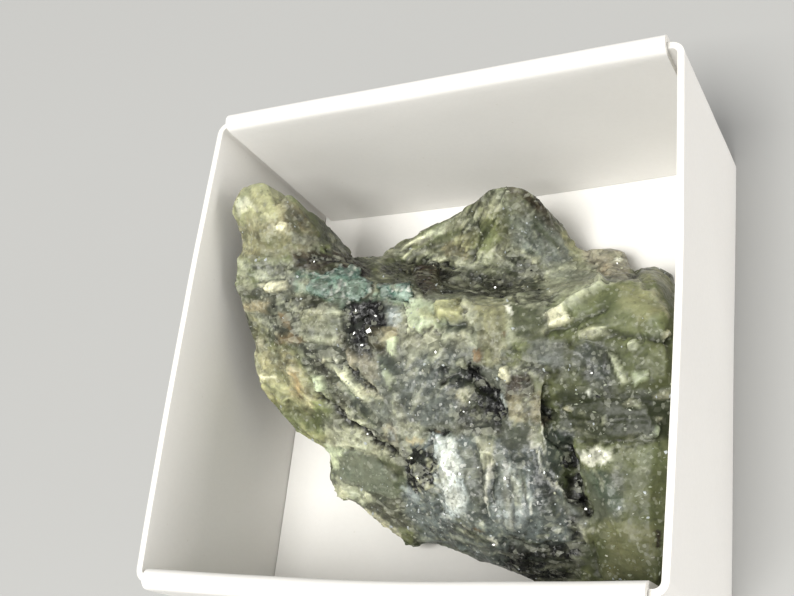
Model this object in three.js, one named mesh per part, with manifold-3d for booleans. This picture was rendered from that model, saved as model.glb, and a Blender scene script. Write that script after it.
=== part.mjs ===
// Emerald in matrix, resting in a small folded card specimen tray.
// Millimetres, +Z up, origin at the middle of the tray's underside,
// +X to the right and +Y to the back of the open tray.
import * as THREE from 'three';
import { ConvexGeometry } from 'three/addons/geometries/ConvexGeometry.js';
import { mergeVertices } from 'three/addons/utils/BufferGeometryUtils.js';
import Module from 'manifold-3d';

// ---- driving dimensions: tray ----
const TRAY_W = 40;        // outside width, X
const TRAY_D = 40;        // outside depth, Y
const FOLD_H = 18.2;      // height of the rolled front and back walls
const SIDE_H = 17.4;      // height of the single-ply left and right walls
const CARD = 0.5;         // card thickness
const ROLL_T = 1.6;       // thickness of a rolled (double) wall
const ROLL_SHORT = 1.2;   // rolled wall stops this short of the side wall's outer face
const BEND_R = 1.0;       // outer radius where a side wall bends into its tucked flap
const FLAP_L = 12;        // length of the tucked corner flap
const FLAP_IN = 0.5;      // flap's outer face behind the rolled wall's outer face
const LEAN_X = 0.5;       // side walls lean out this far at their top
const LEAN_Y = 0.4;       // rolled walls lean out this far at their top

// ---- driving dimensions: stone ----
const REST_GAP = 0.3;     // clearance under the stone and round the set-in crystals
const BASE_Z = CARD + REST_GAP;   // height of the stone's resting face

// Widest loop of the stone, in plan order (counter-clockwise from the back
// left corner), each point with its height.
const OUTLINE = [
  [-18.07, 13.95, 15.9], [-18.74, 12.61, 15.9], [-18.67, 11.69, 15.6], [-18.32, 10.99, 15], [-18.36, 9.01, 14.4], [-18.86, 8.04, 14.6],
  [-18.79, 6.41, 14.7], [-18.72, 5.3, 13.6], [-18.72, 4.26, 13], [-18.38, 2.82, 12.2], [-18.06, 1.36, 11.2], [-18.17, -0.03, 10.8],
  [-17.96, -1.48, 9.8], [-17.47, -2.37, 8.9], [-16.75, -3.45, 8], [-15.94, -4.64, 7.2], [-15.04, -5.64, 6.6], [-13.89, -6.25, 6.2],
  [-12.36, -6.75, 6], [-12.44, -7.76, 5.6], [-12.45, -8.71, 5], [-12.85, -9.75, 4.4], [-12, -10.42, 4], [-10.35, -10.83, 3.9],
  [-9.36, -11.6, 3.6], [-7.87, -12.69, 3.3], [-6.43, -13.52, 3], [-5.92, -14.16, 2.6], [-4.95, -14.29, 2.5], [-3.28, -14.05, 3],
  [-1.78, -14.41, 2.9], [-0.46, -14.84, 2.8], [0.96, -15.29, 2.8], [2.22, -15.52, 2.9], [3.65, -16.05, 3], [4.92, -16.44, 3.2],
  [7.6, -17, 3.4], [10.5, -17.5, 3.8], [14, -17.6, 4.2], [17.2, -17.3, 4.8], [18.9, -15.2, 5.4], [19.1, -11, 6.2],
  [19.15, -6, 7.2], [19.1, -1.2, 8.4], [18.7, 2.6, 8.2], [17.9, 4.8, 6], [16.8, 6.6, 4.8], [15.6, 8, 4],
  [14.4, 8.8, 3.6], [13, 8.7, 3.4], [12.2, 9.4, 2.2], [11.9, 10.4, 2], [11.2, 11.2, 2], [10.2, 11.5, 2],
  [8.7, 11.3, 2], [8, 11.2, 2.4], [7.1, 12.3, 3.2], [6.25, 13.6, 3.8], [5.2, 14.75, 4.4], [3.9, 15.6, 4.6],
  [2.2, 15.9, 4.4], [-0.2, 15.7, 4], [-3.2, 15.2, 3.5], [-6, 14.5, 3.1], [-8.4, 13.6, 2.9], [-10.1, 12.6, 2.8],
  [-10.5, 11.3, 4.2], [-10.4, 9.43, 6.8], [-11.1, 10.51, 7.6], [-11.89, 11.79, 8.2], [-12.74, 12.94, 8.8], [-14.2, 13.8, 9],
  [-15.8, 14.6, 9.2], [-17.5, 14.9, 10.2], [-18.65, 14.5, 12.2],
];

// Survey points on the upper surface: broken tower at the back left, crest with
// the emerald band, schist body, slab at the lower left, silvery lobe, waxy
// right-hand mass, rear peak and two low nubs.
const TOP = [
  [-15.48, 13.62, 16.6], [-13.04, 12.69, 16.1], [-12.17, 11.57, 15.3], [-11.4, 10.29, 14.3], [-10.7, 8.88, 13], [-9.56, 8.66, 12.4],
  [-8.45, 8.21, 11.7], [-7.82, 8.04, 10.9], [-16.15, 11.73, 16.6], [-13.83, 10.88, 16.4], [-15.17, 8.93, 15.8], [-12.61, 9.05, 15.5],
  [-16.29, 6.67, 15], [-13.69, 7.03, 14.8], [-11.56, 7.7, 14], [-10.51, 7.31, 13.4], [-16.26, 5.28, 14.2], [-13.86, 5.02, 14.3],
  [-12, 5.59, 14], [-10.23, 5.05, 13.6], [-8.27, 5.47, 13], [-6.99, 5.74, 12.5], [-5.93, 6.02, 11.8], [-3.9, 5.35, 12.5],
  [-2.06, 4.4, 12.9], [0.59, 3.49, 13.1], [2.36, 2.91, 13.1], [5.71, 2.62, 13.1], [8.76, 2.75, 12.7], [10.26, 2.62, 12.5],
  [11.78, 3.52, 12.1], [13.45, 3.93, 11.9], [14.83, 4.2, 11.5], [16.14, 3.36, 11.5], [17.35, 2.08, 11.7], [18.49, 0.86, 12],
  [-15.93, 2.94, 13], [-12.67, 3.07, 13.8], [-9.91, 2.97, 13.9], [-7.78, 3.29, 13.3], [-5.7, 3.27, 12.9], [-14.91, 0.44, 11.9],
  [-11.26, 0.22, 13], [-8.34, 0.76, 13.3], [-13.96, -2.39, 10.3], [-10.18, -2.14, 11.5], [-6.95, -1.16, 12.5], [-5.71, 1.21, 12.7],
  [-3.1, 2.3, 13.3], [-0.28, 1.94, 13.6], [2.27, 0.99, 13.4], [5.25, 0.12, 13.4], [8.34, 0.36, 13.2], [9.26, -0.43, 12.4],
  [11.59, 0.57, 12.6], [13.35, 1.83, 12.4], [15.68, 0.98, 12.1], [18.18, -1.15, 12.2], [-3.79, -0.53, 12.5], [-0.85, -1.17, 12.6],
  [2.54, -1.15, 12.6], [6.33, -1.91, 12.7], [9.53, -2.09, 12.2], [12.6, -1.41, 11.9], [15.57, -2.17, 11.8], [18.29, -3.53, 11.6],
  [-7.71, -3.5, 10.9], [-4.42, -3.94, 11], [-1.1, -3.78, 11.5], [1.94, -3.96, 11.6], [3.88, -3.7, 11], [6.75, -4.3, 11.9],
  [9.19, -4.42, 11.9], [9.53, -4.31, 10.6], [13.25, -4.24, 11.2], [16.17, -4.35, 11.1], [-11.21, -4.02, 9.6], [-8.84, -5.21, 9.3],
  [-6.33, -6.53, 9], [-4.66, -7.67, 8.8], [-2.1, -6.26, 9.8], [0.64, -6.81, 10], [3.73, -6.28, 10.5], [7.15, -6.53, 10.9],
  [8.95, -7.09, 10.8], [9.02, -7.07, 9.2], [12.98, -6.98, 10], [17, -6.97, 10], [-12.24, -4.85, 8], [-10.2, -5.83, 7.6],
  [-7.65, -7.25, 7.6], [-5.68, -8.47, 7.7], [-10.09, -7.69, 7], [-7.04, -9.41, 7], [-10.34, -9.49, 5.6], [-8, -10.68, 5.6],
  [-4.62, -10.91, 6.4], [-5.81, -12.57, 4.6], [-2.21, -8.82, 9], [0.15, -9.35, 9.3], [-2.03, -11.47, 7], [0.3, -11.78, 8.2],
  [3.29, -8.8, 9.9], [5.83, -9.64, 10], [8.27, -9.63, 9.8], [3.69, -12.04, 9.2], [6.97, -12.11, 9.4], [9.93, -11.34, 9.2],
  [10.42, -13.07, 8.2], [8.19, -14.02, 8.2], [4.7, -14.09, 7.4], [-0.33, -13.49, 5.6], [1.89, -14.65, 5], [5.1, -15.4, 5.2],
  [8.91, -15.49, 6.6], [10.61, -8.03, 8.7], [10.67, -10.05, 7.9], [11.28, -11.9, 7.6], [12.91, -9.61, 9.4], [16.51, -9.98, 9.2],
  [13.29, -12.35, 8.8], [16.42, -12.66, 8.6], [11.73, -14.54, 7.4], [14.58, -14.68, 8.2], [16.61, -14.92, 7.8], [10.59, -16.63, 6],
  [13.53, -16.88, 6.9], [16.43, -16.83, 7], [-9.57, 11.88, 5.2], [-7.94, 12.59, 5.6], [-5.72, 13.12, 6.2], [-3.54, 13.53, 6.8],
  [-1.8, 13.73, 7.3], [-0.48, 14.07, 8.2], [0.9, 13.96, 8.8], [2.41, 14.17, 10], [4.05, 13.96, 10.5], [5.34, 13.74, 10.4],
  [6.06, 13.49, 9.8], [6.6, 12.86, 8], [7.02, 11.86, 6.2], [7.81, 10.51, 4.6], [8.84, 9.27, 3.9], [-5.76, 10.91, 5.6],
  [-3, 11.19, 6.4], [-0.71, 11.68, 7.4], [2.19, 12.18, 8.9], [4.54, 12.01, 9.2], [0.35, 10.35, 6.4], [3.42, 10.1, 7.2],
  [5.48, 10.86, 7], [5.52, 8.79, 5.6], [2.01, 8.24, 5.6], [-1.8, 8.71, 5.4], [-5.84, 8.99, 5], [8.94, 10.47, 3.4],
  [10.76, 10.41, 3.7], [11.68, 10.17, 3.4], [10.75, 8.94, 4.2], [12.12, 9.02, 3.3], [13.87, 7.32, 5.2], [15.17, 7.57, 5.3],
  [15.55, 5.72, 6.6], [16.71, 5.36, 6], [-6.2, 9.2, 7], [-3.4, 7.6, 8], [-4.6, 9.6, 4.8], [0.2, 6, 9],
  [-0.6, 8, 5], [4.6, 5.2, 9.2], [3.6, 7.4, 5.2], [8.2, 5.2, 8.6], [7.2, 7.2, 5], [11.2, 6.2, 7.6],
  [10.4, 7.8, 4.6], [14.2, 6.2, 8.2], [16.6, 4.6, 8.6], [9.5, -16.2, 5.6], [13.5, -16.4, 6.2], [17, -15.6, 6.6],
];

// Resting face of the stone (height BASE_Z).
const BASE = [
  [-16.2, 12.6], [-15.2, 6.5], [-12.5, 1], [-11, -4], [-8, -8.5], [-3.5, -11.5], [2.5, -14], [9, -15.8],
  [15.5, -15.6], [17.4, -9], [17.4, -1.5], [15.8, 4.6], [12.5, 8], [9.6, 10.4], [6, 13.4], [2, 14.4],
  [-3, 13.4], [-8.2, 11.8], [-11.6, 8.6], [-14, 11.2], [-2, 3], [6, 0], [6, -8], [-6, 4],
];

// Corner points of the two granular emerald masses in the crest.
const EMERALD_LEFT = [
  [-11.58, 4.84, 14], [-10.64, 5.83, 13.75], [-9.67, 6.71, 13.35], [-8.29, 6.94, 12.5], [-6.82, 6.18, 12.25], [-6.05, 4.64, 12.6],
  [-6.9, 3.71, 13.15], [-8.54, 3.69, 13.55], [-10.37, 3.91, 13.85], [-8.4, 5.34, 13.55], [-9.59, 4.76, 13.95], [-6.94, 4.82, 13.2],
  [-12.95, 6.67, 10.8], [-11.15, 7.49, 10.2], [-8.83, 6.7, 9.8], [-10.18, 5.56, 10.2],
];
const EMERALD_RIGHT = [
  [-5.28, 5, 12.4], [-4.74, 5.65, 12.2], [-3.52, 5.51, 12.05], [-2.15, 4.56, 12.75], [-1.8, 3.58, 13.2], [-2.84, 3.33, 13.2],
  [-4.34, 3.72, 13], [-3.35, 4.34, 13.15], [-4.12, 4.36, 13.05], [-6.23, 5.91, 10], [-4.2, 5.47, 10.2], [-5.31, 6.41, 9.9],
];

const wasm = await Module();
wasm.setup();

// three.js geometry to a closed solid
function solid(geometry) {
  let g = geometry.index ? geometry.clone() : mergeVertices(stripped(geometry), 1e-5);
  g = mergeVertices(stripped(g), 1e-5);
  const pos = g.attributes.position;
  const vertProperties = new Float32Array(pos.count * 3);
  for (let i = 0; i < pos.count; i++) {
    vertProperties[3 * i] = pos.getX(i);
    vertProperties[3 * i + 1] = pos.getY(i);
    vertProperties[3 * i + 2] = pos.getZ(i);
  }
  const triVerts = new Uint32Array(g.index.array);
  const mesh = new wasm.Mesh({ numProp: 3, vertProperties, triVerts });
  mesh.merge();
  return new wasm.Manifold(mesh);
}

function stripped(geometry) {
  const g = geometry.clone();
  for (const name of Object.keys(g.attributes)) if (name !== 'position') g.deleteAttribute(name);
  return g;
}

// closed solid back to a named mesh; the tray's walls lean out as they rise
function node(name, body, colour, roughness, group, lean = 0) {
  const m = body.getMesh();
  const g = new THREE.BufferGeometry();
  const np = m.numProp;
  const p = new Float32Array((m.vertProperties.length / np) * 3);
  for (let i = 0; i < p.length / 3; i++) {
    p[3 * i] = m.vertProperties[np * i];
    p[3 * i + 1] = m.vertProperties[np * i + 1];
    p[3 * i + 2] = m.vertProperties[np * i + 2];
    if (lean) {
      const t = p[3 * i + 2] / FOLD_H;
      p[3 * i] *= 1 + (LEAN_X * t) / (TRAY_W / 2);
      p[3 * i + 1] *= 1 + (LEAN_Y * t) / (TRAY_D / 2);
    }
  }
  g.setAttribute('position', new THREE.BufferAttribute(p, 3));
  g.setIndex(new THREE.BufferAttribute(new Uint32Array(m.triVerts), 1));
  g.computeVertexNormals();
  const mesh = new THREE.Mesh(g, new THREE.MeshStandardMaterial({ color: colour, roughness, flatShading: true }));
  mesh.name = name;
  group.add(mesh);
  return mesh;
}

function box(x0, y0, z0, x1, y1, z1) {
  const g = new THREE.BoxGeometry(x1 - x0, y1 - y0, z1 - z0);
  g.translate((x0 + x1) / 2, (y0 + y1) / 2, (z0 + z1) / 2);
  return solid(g);
}

// ---- tray ----
// Rolled wall: double card with a rounded fold along its top, run along X.
function rolledWall(yIn, yOut) {
  const y0 = Math.min(yIn, yOut), y1 = Math.max(yIn, yOut), r = ROLL_T / 2;
  const s = new THREE.Shape();
  s.moveTo(y0, 0);
  s.lineTo(y1, 0);
  s.lineTo(y1, FOLD_H - r);
  s.absarc((y0 + y1) / 2, FOLD_H - r, r, 0, Math.PI, false);
  s.lineTo(y0, 0);
  const len = TRAY_W - 2 * ROLL_SHORT;
  const g = new THREE.ExtrudeGeometry(s, { depth: len, bevelEnabled: false, curveSegments: 8 });
  g.applyMatrix4(new THREE.Matrix4().makeBasis(
    new THREE.Vector3(0, 1, 0), new THREE.Vector3(0, 0, 1), new THREE.Vector3(1, 0, 0)));
  g.translate(-len / 2, 0, 0);
  return solid(g);
}

// Side wall with both ends bent round into flaps, seen in plan, raised to SIDE_H.
function sideWall(sign) {
  const xo = TRAY_W / 2, yo = TRAY_D / 2 - FLAP_IN, R = BEND_R, r = BEND_R - CARD, xf = xo - FLAP_L;
  const s = new THREE.Shape();
  s.moveTo(xf, -yo);
  s.lineTo(xo - R, -yo);
  s.absarc(xo - R, -yo + R, R, -Math.PI / 2, 0, false);
  s.lineTo(xo, yo - R);
  s.absarc(xo - R, yo - R, R, 0, Math.PI / 2, false);
  s.lineTo(xf, yo);
  s.lineTo(xf, yo - CARD);
  s.lineTo(xo - R, yo - CARD);
  s.absarc(xo - R, yo - R, r, Math.PI / 2, 0, true);
  s.lineTo(xo - CARD, -yo + R);
  s.absarc(xo - R, -yo + R, r, 0, -Math.PI / 2, true);
  s.lineTo(xf, -yo + CARD);
  s.lineTo(xf, -yo);
  const g = new THREE.ExtrudeGeometry(s, { depth: SIDE_H, bevelEnabled: false, curveSegments: 6 });
  if (sign < 0) g.rotateZ(Math.PI);
  return solid(g);
}

function tray() {
  const yo = TRAY_D / 2, yi = yo - ROLL_T, in_x = CARD / 2, in_y = FLAP_IN + 0.6;
  let body = box(-TRAY_W / 2 + in_x, -yo + in_y, 0, TRAY_W / 2 - in_x, yo - in_y, CARD);
  body = body.add(rolledWall(yi, yo)).add(rolledWall(-yi, -yo));
  body = body.add(sideWall(1)).add(sideWall(-1));
  return body;
}

// ---- stone ----
// Delaunay triangles of plan points (incremental, circumcircle test).
function delaunay(pts) {
  const n = pts.length, big = 1000;
  const P = pts.map(p => [p[0], p[1]]).concat([[-big, -big], [big, -big], [0, big]]);
  let tris = [[n, n + 1, n + 2]];
  const inCircle = (t, q) => {
    const [a, b, c] = t.map(i => P[i]);
    const ax = a[0] - q[0], ay = a[1] - q[1], bx = b[0] - q[0], by = b[1] - q[1], cx = c[0] - q[0], cy = c[1] - q[1];
    return (ax * ax + ay * ay) * (bx * cy - cx * by)
      - (bx * bx + by * by) * (ax * cy - cx * ay)
      + (cx * cx + cy * cy) * (ax * by - bx * ay) > 0;
  };
  for (let i = 0; i < n; i++) {
    const bad = tris.filter(t => inCircle(t, P[i]));
    const edges = new Map();
    for (const t of bad) for (let k = 0; k < 3; k++) {
      const a = t[k], b = t[(k + 1) % 3], back = b + '_' + a;
      if (edges.has(back)) edges.delete(back); else edges.set(a + '_' + b, [a, b]);
    }
    tris = tris.filter(t => !bad.includes(t));
    for (const [a, b] of edges.values()) tris.push([a, b, i]);
  }
  return tris.filter(t => t.every(i => i < n));
}

function insideLoop(x, y, loop) {
  let c = false;
  for (let i = 0, j = loop.length - 1; i < loop.length; j = i++) {
    const [xi, yi] = loop[i], [xj, yj] = loop[j];
    if ((yi > y) !== (yj > y) && x < ((xj - xi) * (y - yi)) / (yj - yi) + xi) c = !c;
  }
  return c;
}

// Triangles of one sheet (upper or lower) inside the outline loop.
function sheet(points) {
  return delaunay(points).filter(t => {
    const x = (points[t[0]][0] + points[t[1]][0] + points[t[2]][0]) / 3;
    const y = (points[t[0]][1] + points[t[1]][1] + points[t[2]][1]) / 3;
    return insideLoop(x, y, OUTLINE);
  });
}

// Upper and lower sheets share the outline, which closes the stone.
function stone() {
  const upper = OUTLINE.concat(TOP);
  const lower = OUTLINE.concat(BASE.map(([x, y]) => [x, y, BASE_Z]));
  const n = OUTLINE.length, shift = TOP.length;
  const verts = upper.concat(lower.slice(n));
  const index = [];
  for (const t of sheet(upper)) index.push(t[0], t[1], t[2]);
  for (const t of sheet(lower)) {
    const [a, b, c] = t.map(i => (i < n ? i : i + shift));
    index.push(a, c, b);
  }
  const g = new THREE.BufferGeometry();
  g.setAttribute('position', new THREE.BufferAttribute(new Float32Array(verts.flat()), 3));
  g.setIndex(index);
  return solid(g);
}

function hull(points) {
  return solid(new ConvexGeometry(points.map(p => new THREE.Vector3(...p))));
}

// A crystal's hull grown by the clearance on every side, for its pocket.
function pocket(points) {
  const d = new THREE.IcosahedronGeometry(REST_GAP * 1.26, 0).attributes.position;
  const grown = [];
  for (const p of points) for (let i = 0; i < d.count; i++) grown.push([p[0] + d.getX(i), p[1] + d.getY(i), p[2] + d.getZ(i)]);
  return hull(grown);
}

function largest(body) {
  return body.decompose().sort((a, b) => b.volume() - a.volume())[0];
}

const part = new THREE.Group();
part.name = 'emerald_in_matrix';
node('specimen_box', tray(), 0xf2f0ea, 0.8, part, 1);
node('matrix', largest(stone().subtract(pocket(EMERALD_LEFT)).subtract(pocket(EMERALD_RIGHT))), 0x6d7262, 0.6, part);
node('emerald_left', hull(EMERALD_LEFT), 0x5f9f8c, 0.25, part);
node('emerald_right', hull(EMERALD_RIGHT), 0x6aa894, 0.25, part);

export default part;
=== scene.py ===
import bpy
import math
import numpy as np
from mathutils import Matrix, Vector
from mathutils.bvhtree import BVHTree
from mathutils.kdtree import KDTree


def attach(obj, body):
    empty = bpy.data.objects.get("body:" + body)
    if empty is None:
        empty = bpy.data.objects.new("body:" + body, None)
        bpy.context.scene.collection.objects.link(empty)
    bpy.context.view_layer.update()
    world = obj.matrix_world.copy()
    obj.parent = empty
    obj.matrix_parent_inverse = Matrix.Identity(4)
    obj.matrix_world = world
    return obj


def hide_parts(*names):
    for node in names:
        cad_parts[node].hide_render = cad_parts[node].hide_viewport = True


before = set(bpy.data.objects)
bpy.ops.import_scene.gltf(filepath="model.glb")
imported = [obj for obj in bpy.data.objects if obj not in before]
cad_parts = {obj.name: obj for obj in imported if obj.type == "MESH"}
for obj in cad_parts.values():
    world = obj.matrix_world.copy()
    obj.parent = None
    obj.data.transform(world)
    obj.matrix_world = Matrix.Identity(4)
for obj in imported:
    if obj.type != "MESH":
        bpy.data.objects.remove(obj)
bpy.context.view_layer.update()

MM = 0.001
scene = bpy.context.scene

# ---------------------------------------------------------------- camera
# Viewpoint in millimetres of the part's frame, with its right, down and
# forward directions, for an image of 794 x 596.
EYE = np.array((42.5507118, -32.6906594, 91.8349643))
AXES = np.array(((0.88059867, 0.10982195, -0.46096109),
                 (-0.08232489, -0.92252408, -0.37705695),
                 (-0.46665683, 0.36998442, -0.80333239)))
FOCAL, CX, CY = 1246.0936, 397.0, 298.0

cam_data = bpy.data.cameras.new("camera")
cam_data.sensor_fit = "HORIZONTAL"
cam_data.sensor_width = 36.0
cam_data.lens = FOCAL / 794.0 * 36.0
cam_data.clip_start = 0.005
cam_data.clip_end = 20.0
cam = bpy.data.objects.new("camera", cam_data)
scene.collection.objects.link(cam)
rot = Matrix((AXES[0], -AXES[1], -AXES[2])).transposed()
cam.matrix_world = Matrix.Translation(Vector(EYE * MM)) @ rot.to_4x4()
scene.camera = cam


def to_view(P):
    Q = (P - EYE) @ AXES.T
    return CX + FOCAL * Q[:, 0] / Q[:, 2], CY + FOCAL * Q[:, 1] / Q[:, 2]


def view_ray(u, v):
    d = AXES.T @ np.array(((u - CX) / FOCAL, (v - CY) / FOCAL, 1.0))
    return d / np.linalg.norm(d)


# ---------------------------------------------------------------- helpers
def lattice(ix, iy, iz, seed):
    h = (ix.astype(np.int64) * 374761393 + iy.astype(np.int64) * 668265263
         + iz.astype(np.int64) * 1274126177 + seed * 974634777) & 0xFFFFFFFF
    h = ((h ^ (h >> 13)) * 1274126177) & 0xFFFFFFFF
    h = ((h ^ (h >> 16)) * 2246822519) & 0xFFFFFFFF
    h = h ^ (h >> 15)
    return (h & 0xFFFFFF).astype(np.float64) / 0xFFFFFF * 2 - 1


def vnoise(P, seed=0):
    """Smooth value noise, -1 to 1, one lattice cell per unit."""
    f = np.floor(P)
    i = f.astype(np.int64)
    t = P - f
    t = t * t * t * (t * (t * 6 - 15) + 10)
    out = np.zeros(len(P))
    for dx in (0, 1):
        wx = t[:, 0] if dx else 1 - t[:, 0]
        for dy in (0, 1):
            wy = t[:, 1] if dy else 1 - t[:, 1]
            for dz in (0, 1):
                wz = t[:, 2] if dz else 1 - t[:, 2]
                out += wx * wy * wz * lattice(i[:, 0] + dx, i[:, 1] + dy, i[:, 2] + dz, seed)
    return out


def fbm(P, seed=0, octaves=4, gain=0.5):
    out, a, s = np.zeros(len(P)), 1.0, 0.0
    for o in range(octaves):
        out += a * vnoise(P * 2 ** o + 17.3 * o, seed + o)
        s += a
        a *= gain
    return out / s


def smooth(a, b, x):
    t = np.clip((x - a) / (b - a), 0, 1)
    return t * t * (3 - 2 * t)


def srgb(r, g, b):
    c = np.array((r, g, b), float) / 255
    return np.where(c <= 0.04045, c / 12.92, ((c + 0.055) / 1.055) ** 2.4)


def remeshed(nodes, voxel):
    """Even quad mesh of CAD nodes joined in one, in millimetres: points and
    quads. Each node comes with a growth factor about its own middle."""
    pts, faces = [], []
    for node, grow in nodes:
        src = node.data
        c = np.empty(len(src.vertices) * 3)
        src.vertices.foreach_get("co", c)
        c = c.reshape(-1, 3) * 1000
        mid = (c.max(0) + c.min(0)) / 2
        i0 = len(pts)
        pts += (mid + (c - mid) * grow).tolist()
        faces += [[i0 + k for k in p.vertices] for p in src.polygons]
    me = bpy.data.meshes.new("tmp_remesh")
    me.from_pydata(pts, [], faces)
    o = bpy.data.objects.new("tmp_remesh", me)
    scene.collection.objects.link(o)
    m = o.modifiers.new("remesh", "REMESH")
    m.mode = "VOXEL"
    m.voxel_size = voxel
    m.adaptivity = 0.0
    dg = bpy.context.evaluated_depsgraph_get()
    e = o.evaluated_get(dg)
    src = e.to_mesh()
    P = np.empty(len(src.vertices) * 3)
    src.vertices.foreach_get("co", P)
    Q = np.empty(len(src.loops), np.int32)
    src.loops.foreach_get("vertex_index", Q)
    e.to_mesh_clear()
    bpy.data.objects.remove(o)
    bpy.data.meshes.remove(me)
    return P.reshape(-1, 3), Q.reshape(-1, 4)


def normals(P, Q):
    n = np.cross(P[Q[:, 2]] - P[Q[:, 0]], P[Q[:, 3]] - P[Q[:, 1]])
    out = np.zeros_like(P)
    for k in range(4):
        for c in range(3):
            out[:, c] += np.bincount(Q[:, k], n[:, c], len(P))
    return out / np.maximum(np.linalg.norm(out, axis=1), 1e-12)[:, None]


def edges_of(Q):
    e = np.concatenate([Q[:, [0, 1]], Q[:, [1, 2]], Q[:, [2, 3]], Q[:, [3, 0]]])
    e.sort(axis=1)
    return np.unique(e, axis=0)


def relax(A, E, times, amount=0.5, weight=None):
    """Laplacian smoothing of a per-point array."""
    A = A.copy()
    n = len(A)
    deg = np.bincount(E[:, 0], minlength=n) + np.bincount(E[:, 1], minlength=n)
    flat = A.ndim == 1
    if flat:
        A = A[:, None]
    w = amount if weight is None else (amount * weight)[:, None]
    for _ in range(times):
        s = np.empty_like(A)
        for c in range(A.shape[1]):
            s[:, c] = np.bincount(E[:, 0], A[E[:, 1], c], n) + np.bincount(E[:, 1], A[E[:, 0], c], n)
        A += w * (s / np.maximum(deg, 1)[:, None] - A)
    return A[:, 0] if flat else A


def new_object(name, P, faces, mats, smooth_shade=True, mat_index=None):
    """Mesh object from points in millimetres."""
    me = bpy.data.meshes.new(name)
    me.from_pydata((np.asarray(P) * MM).tolist(), [], faces.tolist() if hasattr(faces, "tolist") else faces)
    for m in mats:
        me.materials.append(m)
    if mat_index is not None:
        me.polygons.foreach_set("material_index", np.asarray(mat_index, np.int32))
    me.polygons.foreach_set("use_smooth", np.full(len(me.polygons), smooth_shade))
    me.update()
    o = bpy.data.objects.new(name, me)
    scene.collection.objects.link(o)
    return o


def put_colour(o, name, rgb):
    a = o.data.color_attributes.new(name, "FLOAT_COLOR", "POINT")
    c = np.ones((len(rgb), 4), np.float32)
    c[:, :3] = rgb
    a.data.foreach_set("color", c.ravel())


def put_value(o, name, val):
    a = o.data.attributes.new(name, "FLOAT", "POINT")
    a.data.foreach_set("value", np.asarray(val, np.float32))


class Nodes:
    """Small helper to write node trees."""

    def __init__(self, name):
        self.m = bpy.data.materials.new(name)
        self.m.use_nodes = True
        self.t = self.m.node_tree
        self.bsdf = self.t.nodes["Principled BSDF"]

    def add(self, kind, **kw):
        n = self.t.nodes.new(kind)
        for k, v in kw.items():
            setattr(n, k, v)
        return n

    def link(self, a, b):
        self.t.links.new(a, b)

    def attr(self, name):
        return self.add("ShaderNodeAttribute", attribute_name=name, attribute_type="GEOMETRY")

    def coord(self, scale, turn=(0.0, 0.0, 0.0)):
        c = self.add("ShaderNodeTexCoord")
        m = self.add("ShaderNodeMapping")
        m.inputs["Rotation"].default_value = turn
        m.inputs["Scale"].default_value = scale if hasattr(scale, "__len__") else (scale,) * 3
        self.link(c.outputs["Object"], m.inputs["Vector"])
        return m.outputs["Vector"]

    def noise(self, scale, detail=3.0, rough=0.55, vec=None):
        n = self.add("ShaderNodeTexNoise")
        n.inputs["Scale"].default_value = 1.0
        n.inputs["Detail"].default_value = detail
        n.inputs["Roughness"].default_value = rough
        self.link(vec if vec is not None else self.coord(scale), n.inputs["Vector"])
        return n.outputs["Fac"]

    def voronoi(self, scale, feature="F1", out="Distance", vec=None):
        n = self.add("ShaderNodeTexVoronoi", feature=feature)
        n.inputs["Scale"].default_value = 1.0
        self.link(vec if vec is not None else self.coord(scale), n.inputs["Vector"])
        return n.outputs[out]

    def ramp(self, src, lo, hi, a=0.0, b=1.0):
        n = self.add("ShaderNodeMapRange")
        n.inputs["From Min"].default_value = lo
        n.inputs["From Max"].default_value = hi
        n.inputs["To Min"].default_value = a
        n.inputs["To Max"].default_value = b
        self.link(src, n.inputs["Value"])
        return n.outputs["Result"]

    def math(self, op, a, b):
        n = self.add("ShaderNodeMath", operation=op)
        for i, x in enumerate((a, b)):
            if isinstance(x, (int, float)):
                n.inputs[i].default_value = x
            else:
                self.link(x, n.inputs[i])
        return n.outputs[0]

    def mix(self, fac, a, b, blend="MIX"):
        n = self.add("ShaderNodeMix", data_type="RGBA", blend_type=blend)
        ins = [s for s in n.inputs if s.type == "RGBA"]
        for s, x in ((n.inputs[0], fac), (ins[0], a), (ins[1], b)):
            if isinstance(x, (int, float)):
                s.default_value = x
            elif hasattr(x, "__len__"):
                s.default_value = (*x[:3], 1.0)
            else:
                self.link(x, s)
        return [s for s in n.outputs if s.type == "RGBA"][0]

    def bump(self, height, strength, distance, normal=None):
        n = self.add("ShaderNodeBump")
        n.inputs["Strength"].default_value = strength
        n.inputs["Distance"].default_value = distance
        self.link(height, n.inputs["Height"])
        if normal is not None:
            self.link(normal, n.inputs["Normal"])
        return n.outputs["Normal"]


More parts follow.
